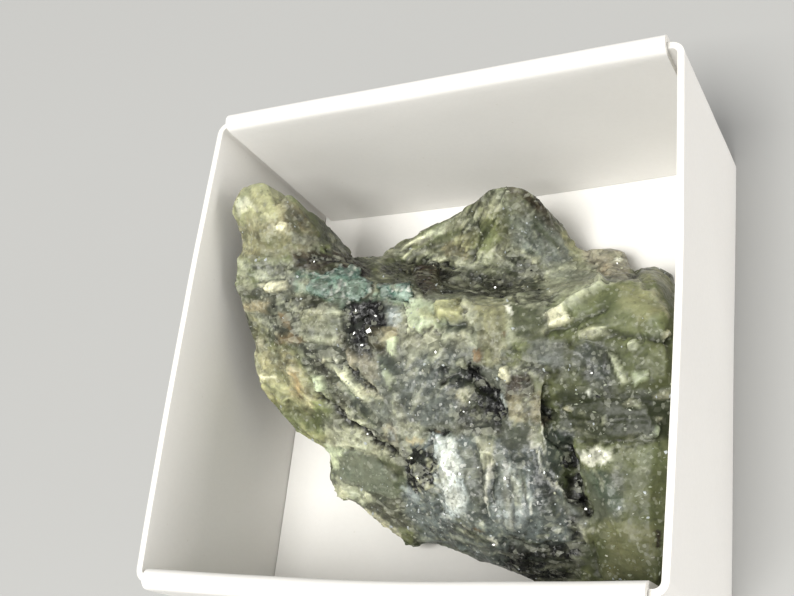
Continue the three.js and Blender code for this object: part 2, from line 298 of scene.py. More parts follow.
# ---------------------------------------------------------------- minerals
# Name: colour, roughness, translucency, sparkle (weight of painted glints and dark flecks in the shader), grain
# relief, facet relief
MINERALS = {
    "schist":   (srgb(100, 102, 88), 0.50, 0.15, 0.50, 0.80, 0.7),
    "grey":     (srgb(120, 123, 113), 0.42, 0.25, 0.50, 0.48, 0.8),
    "olive":    (srgb(109, 115, 78), 0.46, 0.60, 0.08, 0.14, 0.9),
    "dolive":   (srgb(70, 77, 50), 0.46, 0.45, 0.10, 0.12, 0.9),
    "yellow":   (srgb(160, 159, 121), 0.44, 0.55, 0.12, 0.30, 0.9),
    "pale":     (srgb(172, 174, 150), 0.42, 0.50, 0.25, 0.48, 0.9),
    "cream":    (srgb(198, 195, 168), 0.40, 0.45, 0.30, 0.50, 0.9),
    "white":    (srgb(228, 228, 215), 0.36, 0.50, 0.30, 0.45, 0.8),
    "mint":     (srgb(170, 179, 151), 0.42, 0.55, 0.15, 0.20, 0.9),
    "silver":   (srgb(166, 174, 174), 0.30, 0.10, 1.0, 0.7, 0.7),
    "steel":    (srgb(108, 116, 115), 0.32, 0.15, 0.8, 0.46, 0.8),
    "lavender": (srgb(134, 139, 130), 0.42, 0.30, 0.3, 0.22, 0.7),
    "teal":     (srgb(82, 113, 99), 0.36, 0.45, 0.6, 0.95, 0.8),
    "pteal":    (srgb(142, 163, 145), 0.38, 0.45, 0.5, 0.95, 0.8),
    "black":    (srgb(18, 18, 17), 0.34, 0.00, 0.5, 0.9, 0.8),
    "brown":    (srgb(60, 48, 38), 0.40, 0.05, 0.5, 0.9, 0.7),
    "rust":     (srgb(138, 108, 66), 0.55, 0.10, 0.1, 0.6, 0.6),
    "peach":    (srgb(178, 165, 132), 0.45, 0.35, 0.2, 0.5, 0.8),
    "pink":     (srgb(156, 150, 131), 0.42, 0.30, 0.4, 0.6, 0.8),
    "tan":      (srgb(148, 141, 114), 0.45, 0.30, 0.3, 0.6, 0.9),
    "gneiss":   (srgb(112, 114, 94), 0.46, 0.35, 0.25, 0.50, 0.9),
    "glass":    (srgb(103, 108, 93), 0.34, 0.65, 0.12, 0.08, 0.7),
    "dglass":   (srgb(66, 74, 66), 0.34, 0.45, 0.15, 0.10, 0.7),
}

# Where each mineral lies on the stone, as seen from the viewpoint above:
# mineral, cover, softness, points, and a width for a streak (none for an area).
MARKS = [
    # broad bodies
    ("olive", 0.95, 10, [(228, 180), (300, 184), (330, 250), (300, 275), (228, 290)], None),
    ("schist", 0.9, 12, [(240, 290), (345, 300), (400, 340), (470, 340), (480, 420), (400, 460), (320, 410), (262, 380)], None),
    ("grey", 0.8, 12, [(370, 345), (545, 345), (548, 420), (400, 440), (345, 395)], None),
    ("olive", 0.9, 10, [(246, 340), (290, 345), (330, 400), (326, 455), (290, 440), (255, 390)], None),
    ("pale", 0.75, 8, [(400, 296), (470, 298), (545, 298), (545, 340), (470, 345), (400, 335)], None),
    ("gneiss", 0.9, 10, [(366, 262), (456, 214), (500, 184), (530, 190), (590, 262), (600, 298), (440, 296), (380, 280)], None),
    ("olive", 0.95, 10, [(548, 300), (600, 280), (690, 280), (690, 600), (575, 600), (590, 520), (570, 440), (548, 390)], None),
    ("schist", 0.85, 10, [(320, 415), (390, 455), (430, 440), (430, 520), (400, 552), (330, 500)], None),
    ("steel", 0.9, 12, [(405, 432), (545, 440), (578, 520), (560, 580), (430, 565), (400, 500)], None),
    # tower
    ("pale", 0.45, 10, [(228, 184), (290, 184), (296, 225), (230, 228)], None),
    ("yellow", 0.45, 10, [(232, 188), (262, 184), (282, 192), (290, 215), (270, 232), (240, 228), (230, 210)], None),
    ("tan", 0.65, 8, [(234, 222), (288, 222), (294, 254), (236, 258)], None),
    ("tan", 0.6, 8, [(278, 200), (300, 206), (322, 244), (300, 250), (282, 226)], None),
    ("brown", 0.35, 8, [(286, 200), (302, 215), (318, 240), (300, 246), (284, 222)], None),
    ("brown", 0.40, 8, [(290, 205), (306, 222), (316, 238)], 10),
    ("dolive", 0.22, 6, [(248, 232), (282, 240), (288, 258), (252, 256)], None),
    ("grey", 0.6, 5, [(298, 236), (318, 240), (312, 250)], 12),
    # painted highlight: white patch on the tower top
    ("white", 0.35, 5, [(236, 207), (241, 201), (252, 201), (257, 207), (249, 214), (239, 214)], None),
    ("cream", 0.8, 3, [(275, 228), (282, 222), (288, 226), (284, 230)], None),
    ("pink", 0.6, 6, [(288, 247), (306, 246), (310, 262), (294, 266)], None),
    ("schist", 0.75, 8, [(252, 262), (300, 262), (304, 284), (256, 286)], None),
    ("pale", 0.7, 6, [(232, 256), (246, 260), (250, 288), (236, 290)], None),
    ("grey", 0.6, 4, [(246, 266), (270, 270), (300, 280)], 6),
    ("steel", 0.5, 4, [(252, 276), (290, 284)], 4),
    ("brown", 0.9, 6, [(325, 252), (346, 250), (368, 262), (372, 276), (350, 272), (330, 264)], None),
    ("grey", 0.5, 4, [(330, 258), (350, 260), (364, 268)], 5),
    ("brown", 0.8, 6, [(288, 250), (312, 248), (340, 254), (372, 266), (370, 277), (340, 268), (312, 276), (296, 270)], None),
    ("black", 0.65, 5, [(298, 262), (318, 258), (344, 262), (366, 272)], 7),
    # left body
    ("peach", 0.55, 6, [(238, 304), (250, 299), (268, 300), (270, 310), (252, 313), (240, 312)], None),
    ("schist", 0.8, 5, [(268, 297), (298, 297), (298, 332), (270, 330)], None),
    ("yellow", 0.5, 8, [(250, 312), (266, 330), (258, 350), (248, 340)], None),
    ("rust", 0.45, 6, [(281, 317), (290, 334)], 7),
    ("rust", 0.45, 6, [(276, 341), (300, 340)], 7),
    ("pale", 0.85, 5, [(294, 312), (312, 307), (344, 308), (346, 326), (340, 343), (312, 346), (296, 338)], None),
    ("grey", 0.35, 5, [(300, 330), (338, 326)], 14),
    ("dolive", 0.7, 3, [(300, 308), (322, 300), (345, 290)], 3),
    ("cream", 0.8, 3, [(262, 287), (284, 286)], 8),
    ("pale", 0.7, 5, [(248, 338), (258, 342), (262, 378), (252, 372)], None),
    ("tan", 0.6, 10, [(250, 345), (290, 350), (318, 400), (300, 425), (268, 400)], None),
    ("yellow", 0.45, 8, [(262, 380), (300, 384), (300, 410), (275, 404)], None),
    ("peach", 0.6, 6, [(287, 370), (300, 372), (298, 392), (290, 396)], None),
    ("rust", 0.40, 5, [(293, 372), (297, 394)], 6),
    ("brown", 0.30, 8, [(278, 366), (292, 362)], 12),
    ("schist", 0.75, 7, [(300, 346), (326, 352), (332, 372), (306, 376)], None),
    ("black", 0.55, 5, [(303, 352), (322, 366)], 9),
    ("mint", 0.75, 4, [(310, 378), (322, 376), (326, 390), (316, 394)], None),
    ("pale", 0.6, 4, [(312, 392), (324, 398)], 6),
    ("dolive", 0.55, 8, [(268, 404), (325, 412), (324, 448), (296, 438)], None),
    ("yellow", 0.5, 7, [(300, 428), (326, 432), (322, 450), (302, 444)], None),
    ("cream", 0.8, 3, [(257, 339), (262, 346)], 4),
    ("cream", 0.8, 3, [(260, 377), (270, 375)], 5),
    # around the emerald
    ("pteal", 0.6, 5, [(298, 288), (320, 294), (340, 303), (372, 302)], 9),
    ("pteal", 0.6, 5, [(376, 297), (412, 301)], 8),
    ("teal", 0.6, 5, [(300, 276), (322, 278)], 9),
    ("pale", 0.55, 4, [(372, 274), (377, 290)], 5),
    ("dolive", 0.7, 5, [(372, 264), (379, 278)], 6),
    ("black", 0.6, 5, [(336, 331), (352, 320)], 9),
    ("black", 0.97, 4, [(346, 302), (368, 299), (385, 304), (384, 322), (376, 340), (372, 352), (356, 354), (350, 336), (344, 318)], None),
    ("silver", 0.8, 4, [(384, 306), (398, 306), (397, 328), (386, 328)], None),
    ("mint", 0.9, 4, [(404, 299), (440, 297), (442, 322), (424, 331), (404, 328)], None),
    ("yellow", 0.55, 5, [(414, 308), (432, 306), (430, 320), (416, 320)], None),
    ("yellow", 0.9, 3, [(431, 298), (460, 297), (460, 318), (433, 318)], None),
    ("dglass", 0.9, 4, [(440, 320), (465, 320), (464, 332), (442, 332)], None),
    ("tan", 0.85, 4, [(367, 328), (397, 326), (396, 340), (374, 352)], None),
    # centre
    ("steel", 0.55, 10, [(400, 345), (450, 350), (470, 372), (452, 420), (412, 428), (396, 390)], None),
    ("pale", 0.5, 8, [(396, 340), (440, 338), (450, 352), (404, 362)], None),
    ("pale", 0.6, 4, [(430, 357), (438, 353)], 5),
    ("pale", 0.6, 4, [(411, 372)], 6),
    ("pink", 0.6, 5, [(356, 348), (374, 352), (378, 378), (366, 386), (354, 366)], None),
    ("tan", 0.5, 4, [(372, 340), (376, 352)], 8),
    ("dglass", 0.8, 4, [(380, 352), (398, 362), (398, 382), (380, 374)], None),
    ("mint", 0.8, 3, [(388, 336), (397, 337), (394, 357), (386, 350)], None),
    ("mint", 0.7, 3, [(386, 373), (391, 383)], 7),
    ("pink", 0.85, 3, [(347, 346), (353, 351), (353, 371), (346, 366)], None),
    ("brown", 0.5, 5, [(338, 336), (344, 350)], 9),
    ("schist", 0.75, 6, [(330, 392), (360, 402), (384, 420), (380, 440), (350, 420)], None),
    ("pale", 0.85, 4, [(332, 369), (345, 376), (360, 392), (366, 400)], 8),
    ("mint", 0.6, 4, [(336, 379), (352, 394)], 6),
    ("peach", 0.5, 3, [(339, 386)], 6),
    ("black", 0.88, 3, [(346, 366), (356, 378), (370, 396)], 7),
    ("pink", 0.7, 4, [(362, 376), (374, 384), (378, 398), (368, 392)], None),
    ("cream", 0.75, 3, [(362, 397), (378, 398)], 5),
    ("pale", 0.7, 3, [(338, 410), (352, 417), (366, 424)], 7),
    ("dglass", 0.7, 4, [(350, 404), (366, 415), (378, 430)], 8),
    ("pale", 0.6, 3, [(320, 404), (336, 414)], 4),
    ("pale", 0.6, 5, [(392, 400), (400, 418)], 7),
    ("pink", 0.75, 4, [(380, 430), (388, 424), (398, 430), (397, 446), (386, 448)], None),
    ("silver", 0.6, 3, [(390, 436)], 9),
    ("pale", 0.60, 5, [(398, 424), (424, 424), (424, 442), (402, 450)], None),
    ("peach", 0.7, 3, [(408, 443), (418, 441)], 5),
    ("black", 0.9, 4, [(400, 450), (430, 446), (433, 488), (404, 494)], None),
    ("black", 0.85, 4, [(423, 431), (434, 433), (448, 432), (447, 438), (430, 438)], None),
    ("rust", 0.6, 3, [(436, 434)], 4),
    ("yellow", 0.8, 5, [(474, 300), (506, 302), (502, 350), (498, 368), (478, 366)], None),
    ("cream", 0.5, 5, [(482, 340), (498, 346), (496, 362)], 8),
    ("rust", 0.85, 3, [(474, 352), (475, 360)], 7),
    ("rust", 0.7, 3, [(503, 332)], 6),
    ("dolive", 0.85, 6, [(508, 304), (545, 304), (542, 340), (512, 338)], None),
    ("white", 0.8, 2, [(508, 303), (509, 311)], 5),
    ("olive", 0.85, 6, [(505, 340), (526, 340), (526, 366), (508, 368)], None),
    ("lavender", 0.85, 6, [(526, 340), (566, 342), (564, 368), (530, 368)], None),
    ("black", 0.65, 3, [(520, 372), (534, 366), (548, 369)], 3),
    ("brown", 0.85, 5, [(502, 378), (530, 374), (534, 398), (505, 402)], None),
    ("olive", 0.8, 4, [(532, 378), (548, 380), (549, 400), (534, 400)], None),
    ("pale", 0.7, 2, [(534, 378), (539, 376), (543, 381)], 4),
    ("black", 0.6, 5, [(440, 374), (474, 366), (482, 384), (448, 388)], None),
    ("silver", 0.7, 4, [(456, 371), (470, 377)], 5),
    ("black", 0.45, 6, [(456, 400), (488, 402), (500, 416), (494, 432), (470, 430), (456, 418)], None),
    ("cream", 0.8, 4, [(452, 391), (462, 386), (474, 388), (474, 399), (460, 402), (452, 400)], None),
    ("dglass", 0.7, 5, [(448, 378), (462, 373), (476, 378)], 12),
    # black over the dark wedge and the hollow at the centre: partly its dark mineral, partly painted shade
    ("black", 0.97, 3, [(466, 371), (478, 378), (488, 391), (495, 403), (501, 413)], 13),
    ("black", 0.97, 3, [(472, 366), (486, 378), (498, 390), (508, 410), (506, 424), (492, 420), (482, 408), (470, 400)], None),
    ("tan", 0.70, 5, [(506, 398), (545, 392), (547, 424), (512, 424)], None),
    ("glass", 0.9, 5, [(500, 424), (530, 426), (532, 450), (504, 450)], None),
    ("black", 0.95, 3, [(543, 402), (554, 406), (553, 416), (545, 416)], None),
    ("brown", 0.8, 3, [(540, 413), (548, 422)], 6),
    ("pale", 0.8, 3, [(532, 430), (543, 426), (545, 445), (540, 452), (533, 448), (529, 438)], None),
    ("white", 0.8, 2, [(529, 438), (533, 447), (541, 452), (545, 444), (543, 426)], 3),
    ("white", 0.7, 2, [(536, 453), (541, 470), (552, 482), (570, 496)], 3),
    # slab, lower left
    ("pale", 0.85, 5, [(328, 427), (350, 428), (378, 446), (396, 466), (372, 458), (345, 450), (326, 444)], None),
    ("glass", 0.95, 4, [(346, 450), (374, 456), (398, 480), (398, 498), (350, 486), (332, 474)], None),
    ("mint", 0.75, 4, [(325, 442), (345, 449), (338, 468), (326, 477)], None),
    ("pale", 0.85, 3, [(326, 482), (345, 487), (368, 495), (372, 504), (350, 502), (328, 494)], None),
    ("pale", 0.6, 2, [(332, 477), (342, 486), (352, 489)], 3),
    ("schist", 0.8, 5, [(372, 498), (400, 500), (402, 540), (375, 520)], None),
    ("cream", 0.8, 3, [(364, 512), (380, 526), (402, 543)], 8),
    ("olive", 0.85, 3, [(396, 532), (410, 532), (412, 552), (400, 550)], None),
    ("dolive", 0.6, 6, [(384, 462), (398, 470), (398, 492)], 8),
    # seam
    ("black", 0.88, 3, [(316, 398), (330, 408), (346, 422), (364, 434), (376, 446), (390, 452)], 6),
    # painted highlight: white spot at a glint
    ("white", 0.8, 2, [(365, 431), (370, 435)], 3),
    # lobes of silver mica
    ("silver", 0.95, 5, [(432, 440), (454, 440), (462, 470), (468, 500), (460, 520), (446, 522), (436, 500), (432, 470)], None),
    ("white", 0.24, 10, [(434, 442), (450, 442), (458, 470), (464, 500), (458, 516), (448, 514), (438, 490), (434, 466)], None),
    ("grey", 0.7, 5, [(456, 446), (478, 450), (484, 480), (478, 520), (470, 505)], None),
    ("pale", 0.8, 4, [(474, 440), (494, 440), (492, 466), (480, 472)], None),
    ("dglass", 0.8, 4, [(492, 468), (498, 465), (494, 500), (486, 508)], None),
    ("white", 0.7, 2, [(489, 464), (484, 480), (482, 505), (486, 520)], 3),
    ("silver", 0.60, 5, [(498, 466), (514, 466), (528, 480), (534, 505), (526, 525), (500, 528), (490, 512), (494, 488)], None),
    ("white", 0.35, 4, [(506, 470), (502, 495), (512, 522)], 7),
    ("white", 0.6, 2, [(520, 476), (526, 498), (532, 512)], 3),
    ("dglass", 0.85, 4, [(505, 453), (528, 455), (530, 466), (514, 468)], None),
    ("dglass", 0.6, 6, [(534, 464), (548, 480), (556, 510), (542, 512)], None),
    ("grey", 0.55, 4, [(548, 492), (566, 505), (570, 520)], 8),
    ("black", 0.8, 4, [(566, 518), (580, 516), (578, 540), (566, 540)], None),
    ("silver", 0.6, 4, [(404, 490), (412, 500)], 8),
    # painted highlight: white spot at a glint
    ("white", 0.9, 2, [(494, 544)], 6),
    ("rust", 0.7, 2, [(478, 531)], 5),
    ("black", 0.75, 4, [(464, 528), (472, 534)], 6),
    ("black", 0.85, 5, [(504, 548), (540, 552), (576, 548), (566, 582), (525, 580), (505, 566)], None),
    ("pale", 0.5, 4, [(548, 568), (570, 566)], 7),
    ("grey", 0.7, 4, [(452, 556), (480, 566), (500, 570)], 7),
    # recess and right-hand mass
    ("dolive", 0.85, 8, [(556, 392), (672, 392), (670, 438), (562, 436)], None),
    ("dglass", 0.9, 4, [(546, 424), (572, 430), (576, 460), (566, 474), (548, 470), (544, 450)], None),
    # painted shade: black in the deep recess right of the silver lobe
    ("black", 0.95, 4, [(568, 444), (577, 452), (574, 478), (566, 488), (564, 466)], None),
    ("dolive", 0.9, 3, [(556, 474), (572, 470), (570, 486), (558, 484)], None),
    # painted shade: black in the deep recess right of the silver lobe
    ("black", 0.95, 3, [(576, 480), (588, 500), (584, 516), (574, 500)], None),
    ("glass", 0.8, 8, [(577, 466), (624, 472), (620, 524), (592, 520), (586, 490)], None),
    ("teal", 0.30, 10, [(598, 478), (614, 502)], 18),
    # painted highlight: white patch where the glints shine
    ("white", 0.75, 4, [(580, 452), (596, 447), (610, 452), (612, 461), (590, 464), (580, 458)], None),
    ("pale", 0.6, 2, [(590, 468), (600, 480), (604, 488)], 4),
    ("pale", 0.5, 3, [(636, 472), (644, 470)], 6),
    ("yellow", 0.4, 12, [(604, 520), (656, 524), (654, 578), (608, 578)], None),
    ("dolive", 0.6, 6, [(580, 545), (596, 578)], 10),
    ("pale", 0.5, 3, [(582, 542), (592, 530), (602, 526)], 4),
    ("brown", 0.95, 2, [(656, 528), (662, 530), (660, 550), (655, 546)], None),
    ("glass", 0.85, 6, [(578, 342), (606, 346), (618, 380), (608, 394), (584, 382), (572, 360)], None),
    ("steel", 0.45, 6, [(584, 350), (600, 372)], 16),
    ("yellow", 0.55, 8, [(616, 284), (640, 286), (666, 312), (640, 322), (622, 312)], None),
    ("dolive", 0.5, 6, [(580, 312), (606, 294), (616, 308), (610, 326), (586, 324)], None),
    # painted highlight: pale line along the dome's rim
    ("cream", 0.55, 3, [(606, 283), (622, 278), (640, 284), (656, 297), (669, 316)], 4),
    ("dolive", 0.7, 4, [(604, 330), (640, 336), (668, 340)], 7),
    ("pale", 0.55, 2, [(556, 428), (572, 430), (588, 432)], 3),
    ("pale", 0.45, 2, [(566, 422), (600, 424)], 2),
    ("pale", 0.45, 2, [(634, 433), (654, 436)], 3),
    ("dolive", 0.5, 3, [(556, 404), (650, 402)], 4),
    ("dolive", 0.5, 3, [(570, 421), (650, 419)], 4),
    ("black", 0.35, 4, [(584, 440), (650, 441)], 5),
    # rear peak, valley and boulder
    ("pale", 0.45, 4, [(380, 258), (410, 240), (450, 222)], 6),
    ("olive", 0.6, 4, [(376, 266), (420, 246), (460, 228)], 6),
    ("brown", 0.5, 4, [(392, 256), (430, 236)], 5),
    ("grey", 0.6, 10, [(520, 205), (548, 215), (585, 258), (560, 264), (525, 250)], None),
    ("black", 0.25, 8, [(505, 190), (530, 192), (545, 205), (530, 220), (510, 212)], None),
    ("brown", 0.6, 5, [(527, 196), (544, 208)], 9),
    ("olive", 0.7, 5, [(478, 206), (500, 210), (498, 246), (472, 250)], None),
    ("dolive", 0.4, 5, [(450, 222), (474, 216), (468, 256), (440, 250)], None),
    ("tan", 0.6, 5, [(438, 244), (456, 240), (468, 252), (462, 262), (444, 256)], None),
    ("yellow", 0.7, 4, [(452, 238), (470, 234), (478, 240), (468, 252), (454, 248)], None),
    ("pale", 0.5, 6, [(500, 204), (480, 214), (462, 226)], 9),
    ("steel", 0.45, 10, [(506, 216), (540, 214), (580, 256), (560, 266), (512, 250)], None),
    ("pale", 0.7, 2, [(394, 254), (414, 251), (436, 258), (455, 262), (472, 268)], 4),
    ("brown", 0.55, 6, [(512, 190), (530, 193), (544, 208), (552, 224)], 11),
    ("pale", 0.7, 3, [(405, 246), (420, 238)], 5),
    ("pale", 0.7, 3, [(426, 234), (444, 229)], 5),
    ("pale", 0.6, 2, [(494, 214), (505, 232)], 3),
    ("black", 0.65, 5, [(378, 264), (400, 260), (425, 266), (422, 280), (395, 282)], None),
    ("brown", 0.7, 4, [(416, 270), (440, 270), (438, 290), (420, 288)], None),
    ("rust", 0.5, 4, [(420, 272), (438, 272), (438, 286), (424, 286)], None),
    ("black", 0.8, 2, [(400, 258), (428, 262), (455, 268)], 3),
    ("pale", 0.7, 4, [(476, 262), (482, 248), (498, 246), (500, 258)], None),
    # painted shade: black over the shaded valley under the peak's face
    ("black", 0.75, 5, [(440, 270), (470, 272), (508, 280), (510, 296), (470, 296), (442, 288)], None),
    ("pale", 0.8, 2, [(455, 270), (463, 263), (475, 267)], 4),
    ("schist", 0.85, 5, [(502, 256), (540, 258), (540, 294), (508, 292)], None),
    ("pale", 0.6, 4, [(540, 276), (570, 268), (604, 276), (612, 284), (580, 298), (546, 297)], None),
    ("grey", 0.5, 4, [(556, 276), (590, 278)], 12),
    # painted highlight: pale line along the boulder's top edge
    ("pale", 0.8, 2, [(542, 274), (565, 267), (600, 272)], 3),
    ("yellow", 0.55, 4, [(563, 232), (574, 230), (588, 252), (584, 266), (572, 262)], None),
    ("pink", 0.95, 5, [(580, 256), (592, 240), (622, 236), (636, 256), (628, 276), (600, 276)], None),
    ("cream", 0.6, 6, [(612, 254), (624, 256), (620, 268), (610, 266)], None),
    # painted highlight: white spot at a glint
    ("white", 0.85, 2, [(617, 264)], 4),
    ("rust", 0.25, 3, [(605, 273)], 5),
    ("yellow", 0.5, 5, [(638, 276), (656, 268), (674, 290), (650, 288)], None),
]

# Fine lineation: area, direction in degrees, spacing across and along,
# strength in tone and in relief (mm).
LINES = [
    ([(430, 438), (458, 438), (470, 505), (455, 526), (434, 505)], 76, 3.0, 22, 0.34, 0.05),
    ([(486, 462), (532, 466), (540, 512), (512, 532), (486, 516)], 82, 3.0, 24, 0.50, 0.06),
    ([(456, 446), (486, 446), (486, 520), (470, 520)], 84, 3.0, 24, 0.25, 0.04),
    ([(548, 385), (672, 385), (670, 442), (560, 442)], -2, 3.5, 40, 0.14, 0.05),
    ([(600, 440), (672, 440), (660, 580), (600, 580)], 12, 6.0, 30, 0.14, 0.03),
    ([(366, 262), (456, 210), (500, 184), (500, 262), (440, 296), (380, 282)], -28, 4.0, 36, 0.60, 0.07),
    ([(505, 190), (545, 200), (592, 262), (560, 268), (510, 252)], 50, 3.2, 34, 0.28, 0.05),
    ([(300, 392), (330, 400), (400, 446), (396, 462), (340, 428), (296, 404)], 34, 3.0, 30, 0.45, 0.05),
    ([(330, 366), (350, 362), (380, 398), (366, 404)], 48, 3.0, 26, 0.38, 0.04),
    ([(340, 448), (398, 470), (398, 500), (340, 486)], 14, 4.0, 30, 0.18, 0.02),
    ([(396, 342), (470, 345), (456, 425), (400, 430)], 125, 3.4, 16, 0.28, 0.035),
    ([(228, 184), (300, 190), (326, 250), (232, 290)], 25, 6.0, 40, 0.15, 0.02),
    ([(430, 525), (580, 520), (576, 582), (470, 570)], 8, 3.4, 18, 0.38, 0.05),
    ([(580, 342), (612, 346), (612, 392), (576, 372)], 70, 3.0, 24, 0.18, 0.02),
    ([(246, 340), (326, 380), (326, 455), (262, 400)], 40, 5.0, 26, 0.16, 0.02),
    ([(367, 326), (398, 324), (396, 342), (374, 354)], -30, 2.6, 20, 0.30, 0.03),
]

# Mixed grains: area, share of pale and of dark grains.
GRAINS = [
    ([(268, 295), (300, 297), (298, 335), (270, 332)], 0.5, 0.7),
    ([(298, 236), (320, 238), (316, 252), (300, 250)], 0.5, 0.5),
    ([(250, 260), (302, 260), (304, 286), (254, 288)], 0.5, 0.45),
    ([(400, 448), (432, 446), (434, 492), (404, 496)], 0.95, 0.9),
    ([(454, 400), (486, 402), (500, 418), (492, 434), (456, 428)], 0.55, 0.5),
    ([(440, 374), (480, 372), (478, 390), (442, 394)], 0.15, 0.5),
    ([(500, 255), (542, 255), (542, 296), (504, 296)], 0.6, 0.6),
    ([(430, 525), (580, 520), (576, 560), (440, 560)], 0.25, 0.45),
    ([(506, 398), (546, 394), (546, 424), (510, 424)], 0.6, 0.45),
    ([(556, 368), (604, 366), (606, 388), (560, 388)], 0.35, 0.30),
    ([(575, 438), (660, 434), (660, 448), (580, 462)], 0.45, 0.40),
    ([(380, 424), (400, 424), (402, 450), (382, 450)], 0.5, 0.5),
    ([(345, 300), (386, 300), (376, 354), (350, 354)], 0.12, 0.0),
    ([(300, 345), (330, 350), (330, 378), (300, 378)], 0.4, 0.5),
    ([(405, 335), (470, 340), (468, 372), (400, 366)], 0.25, 0.20),
    ([(330, 392), (384, 420), (380, 440), (340, 420)], 0.35, 0.45),
    ([(305, 255), (372, 252), (370, 276), (304, 272)], 0.30, 0.3),
    ([(378, 262), (440, 262), (440, 290), (390, 284)], 0.25, 0.4),
    ([(400, 362), (450, 372), (446, 424), (404, 420)], 0.15, 0.25),
    ([(240, 320), (300, 340), (302, 362), (252, 362)], 0.40, 0.30),
]

# Single chips and blades, and one painted shadow strip under a blade: mineral, thickness in mm, outline from the
# viewpoint.
SHARDS = [
    ("cream", 0.30, [(262, 287), (269, 281), (284, 281), (286, 287), (277, 293), (265, 292)]),
    ("cream", 0.22, [(275, 229), (281, 222), (288, 225), (284, 231)]),
    ("mint", 0.22, [(388, 336), (397, 337), (394, 357), (386, 350)]),
    ("pink", 0.25, [(347, 346), (353, 351), (353, 371), (346, 366)]),
    ("cream", 0.18, [(500, 367), (506, 366), (509, 376), (507, 383), (502, 379), (498, 376)]),
    ("pale", 0.28, [(454, 362), (461, 358), (466, 364), (464, 370), (457, 368)]),
    ("silver", 0.22, [(496, 392), (502, 396), (506, 406), (503, 410), (497, 402)]),
    ("mint", 0.25, [(311, 377), (322, 376), (325, 389), (317, 393)]),
    ("pale", 0.25, [(333, 368), (345, 374), (362, 392), (366, 400), (358, 398), (340, 380)]),
    ("pale", 0.30, [(536, 310), (558, 300), (584, 288), (603, 279), (607, 286), (590, 297), (568, 308), (546, 318)]),
    ("cream", 0.35, [(545, 312), (564, 308), (571, 318), (566, 327), (549, 327)]),
    # painted shadow: dark strip under the pale blade
    ("dolive", 0.05, [(548, 331), (574, 320), (603, 306), (605, 312), (578, 327), (552, 337)]),
    ("pale", 0.32, [(577, 332), (590, 326), (606, 326), (607, 334), (592, 339), (579, 338)]),
    ("grey", 0.32, [(553, 341), (564, 338), (569, 347), (560, 351), (553, 349)]),
    ("pale", 0.25, [(607, 351), (614, 354), (622, 368), (628, 383), (622, 386), (615, 371)]),
    ("pale", 0.30, [(627, 343), (634, 338), (640, 346), (635, 352), (628, 350)]),
    ("mint", 0.30, [(632, 372), (647, 371), (648, 380), (640, 382), (634, 388)]),
    ("cream", 0.22, [(652, 396), (662, 391), (671, 391), (670, 398), (656, 399)]),
    ("pale", 0.22, [(621, 405), (630, 398), (640, 402), (643, 408), (630, 407)]),
    ("cream", 0.18, [(563, 408), (568, 406), (572, 411), (566, 411)]),
    ("pale", 0.18, [(577, 413), (582, 411), (585, 416)]),
    ("cream", 0.18, [(655, 418), (660, 417), (663, 420), (658, 421)]),
    ("mint", 0.25, [(653, 432), (657, 423), (661, 428), (658, 437)]),
    ("white", 0.25, [(588, 388), (591, 392), (590, 397), (586, 392)]),
    ("brown", 0.25, [(416, 270), (436, 268), (441, 280), (424, 290), (415, 284)]),
    ("yellow", 0.30, [(432, 299), (459, 298), (460, 315), (435, 317)]),
    ("tan", 0.28, [(368, 328), (396, 325), (397, 334), (376, 350), (370, 344)]),
    ("cream", 0.22, [(660, 331), (671, 330), (672, 336), (663, 338)]),
    ("pale", 0.25, [(343, 412), (353, 416), (366, 424), (362, 427), (348, 421)]),
    ("pale", 0.22, [(613, 466), (619, 467), (616, 471)]),
    ("cream", 0.20, [(257, 338), (262, 340), (261, 347), (257, 345)]),
    ("pale", 0.20, [(325, 358), (329, 356), (331, 361), (327, 363)]),
    ("white", 0.20, [(333, 356), (338, 361), (336, 364)]),
    ("cream", 0.20, [(322, 355), (326, 361), (322, 363)]),
    ("pale", 0.20, [(600, 417), (605, 415), (606, 424), (602, 425)]),
]

# Paler and darker parts of the stone: area and gain in tone. The darkening over the hollow at the centre is painted
# shade.
SHADES = [
    ([(226, 178), (300, 182), (322, 246), (296, 256), (226, 258)], 1.18),
    ([(244, 338), (326, 385), (328, 458), (255, 405)], 1.45),
    ([(324, 438), (398, 468), (400, 502), (324, 496)], 1.40),
    ([(588, 466), (680, 466), (664, 586), (588, 586)], 0.76),
    ([(552, 384), (680, 384), (676, 442), (556, 442)], 0.62),
    ([(600, 335), (680, 335), (680, 388), (606, 388)], 0.82),
    ([(526, 338), (612, 340), (614, 392), (530, 374)], 0.62),
    ([(430, 438), (456, 438), (468, 520), (436, 505)], 1.08),
    ([(470, 470), (486, 455), (492, 470), (490, 512), (478, 520)], 0.80),
    ([(534, 464), (560, 480), (570, 520), (540, 525)], 0.75),
    ([(498, 428), (532, 428), (542, 452), (550, 474), (560, 502), (546, 506), (530, 472), (506, 460)], 0.72),
    ([(400, 345), (450, 350), (446, 425), (404, 425)], 0.84),
    # painted shade: darker tone over the hollow at the centre
    ([(446, 370), (480, 362), (508, 398), (506, 430), (470, 432), (446, 402)], 0.66),
    ([(486, 462), (532, 466), (540, 512), (512, 532), (486, 516)], 0.78),
    ([(344, 300), (388, 300), (378, 354), (348, 354)], 0.30),
    ([(376, 268), (440, 214), (470, 222), (440, 262)], 1.12),
    ([(380, 262), (456, 208), (500, 180), (540, 186), (590, 262), (500, 262)], 1.14),
    ([(540, 270), (612, 266), (614, 298), (542, 298)], 1.05),
    ([(376, 278), (424, 278), (424, 302), (376, 302)], 0.95),
    ([(292, 305), (346, 305), (346, 345), (294, 345)], 0.82),
    ([(472, 298), (506, 300), (500, 368), (474, 366)], 0.72),
    ([(500, 545), (580, 545), (570, 586), (500, 584)], 0.75),
]

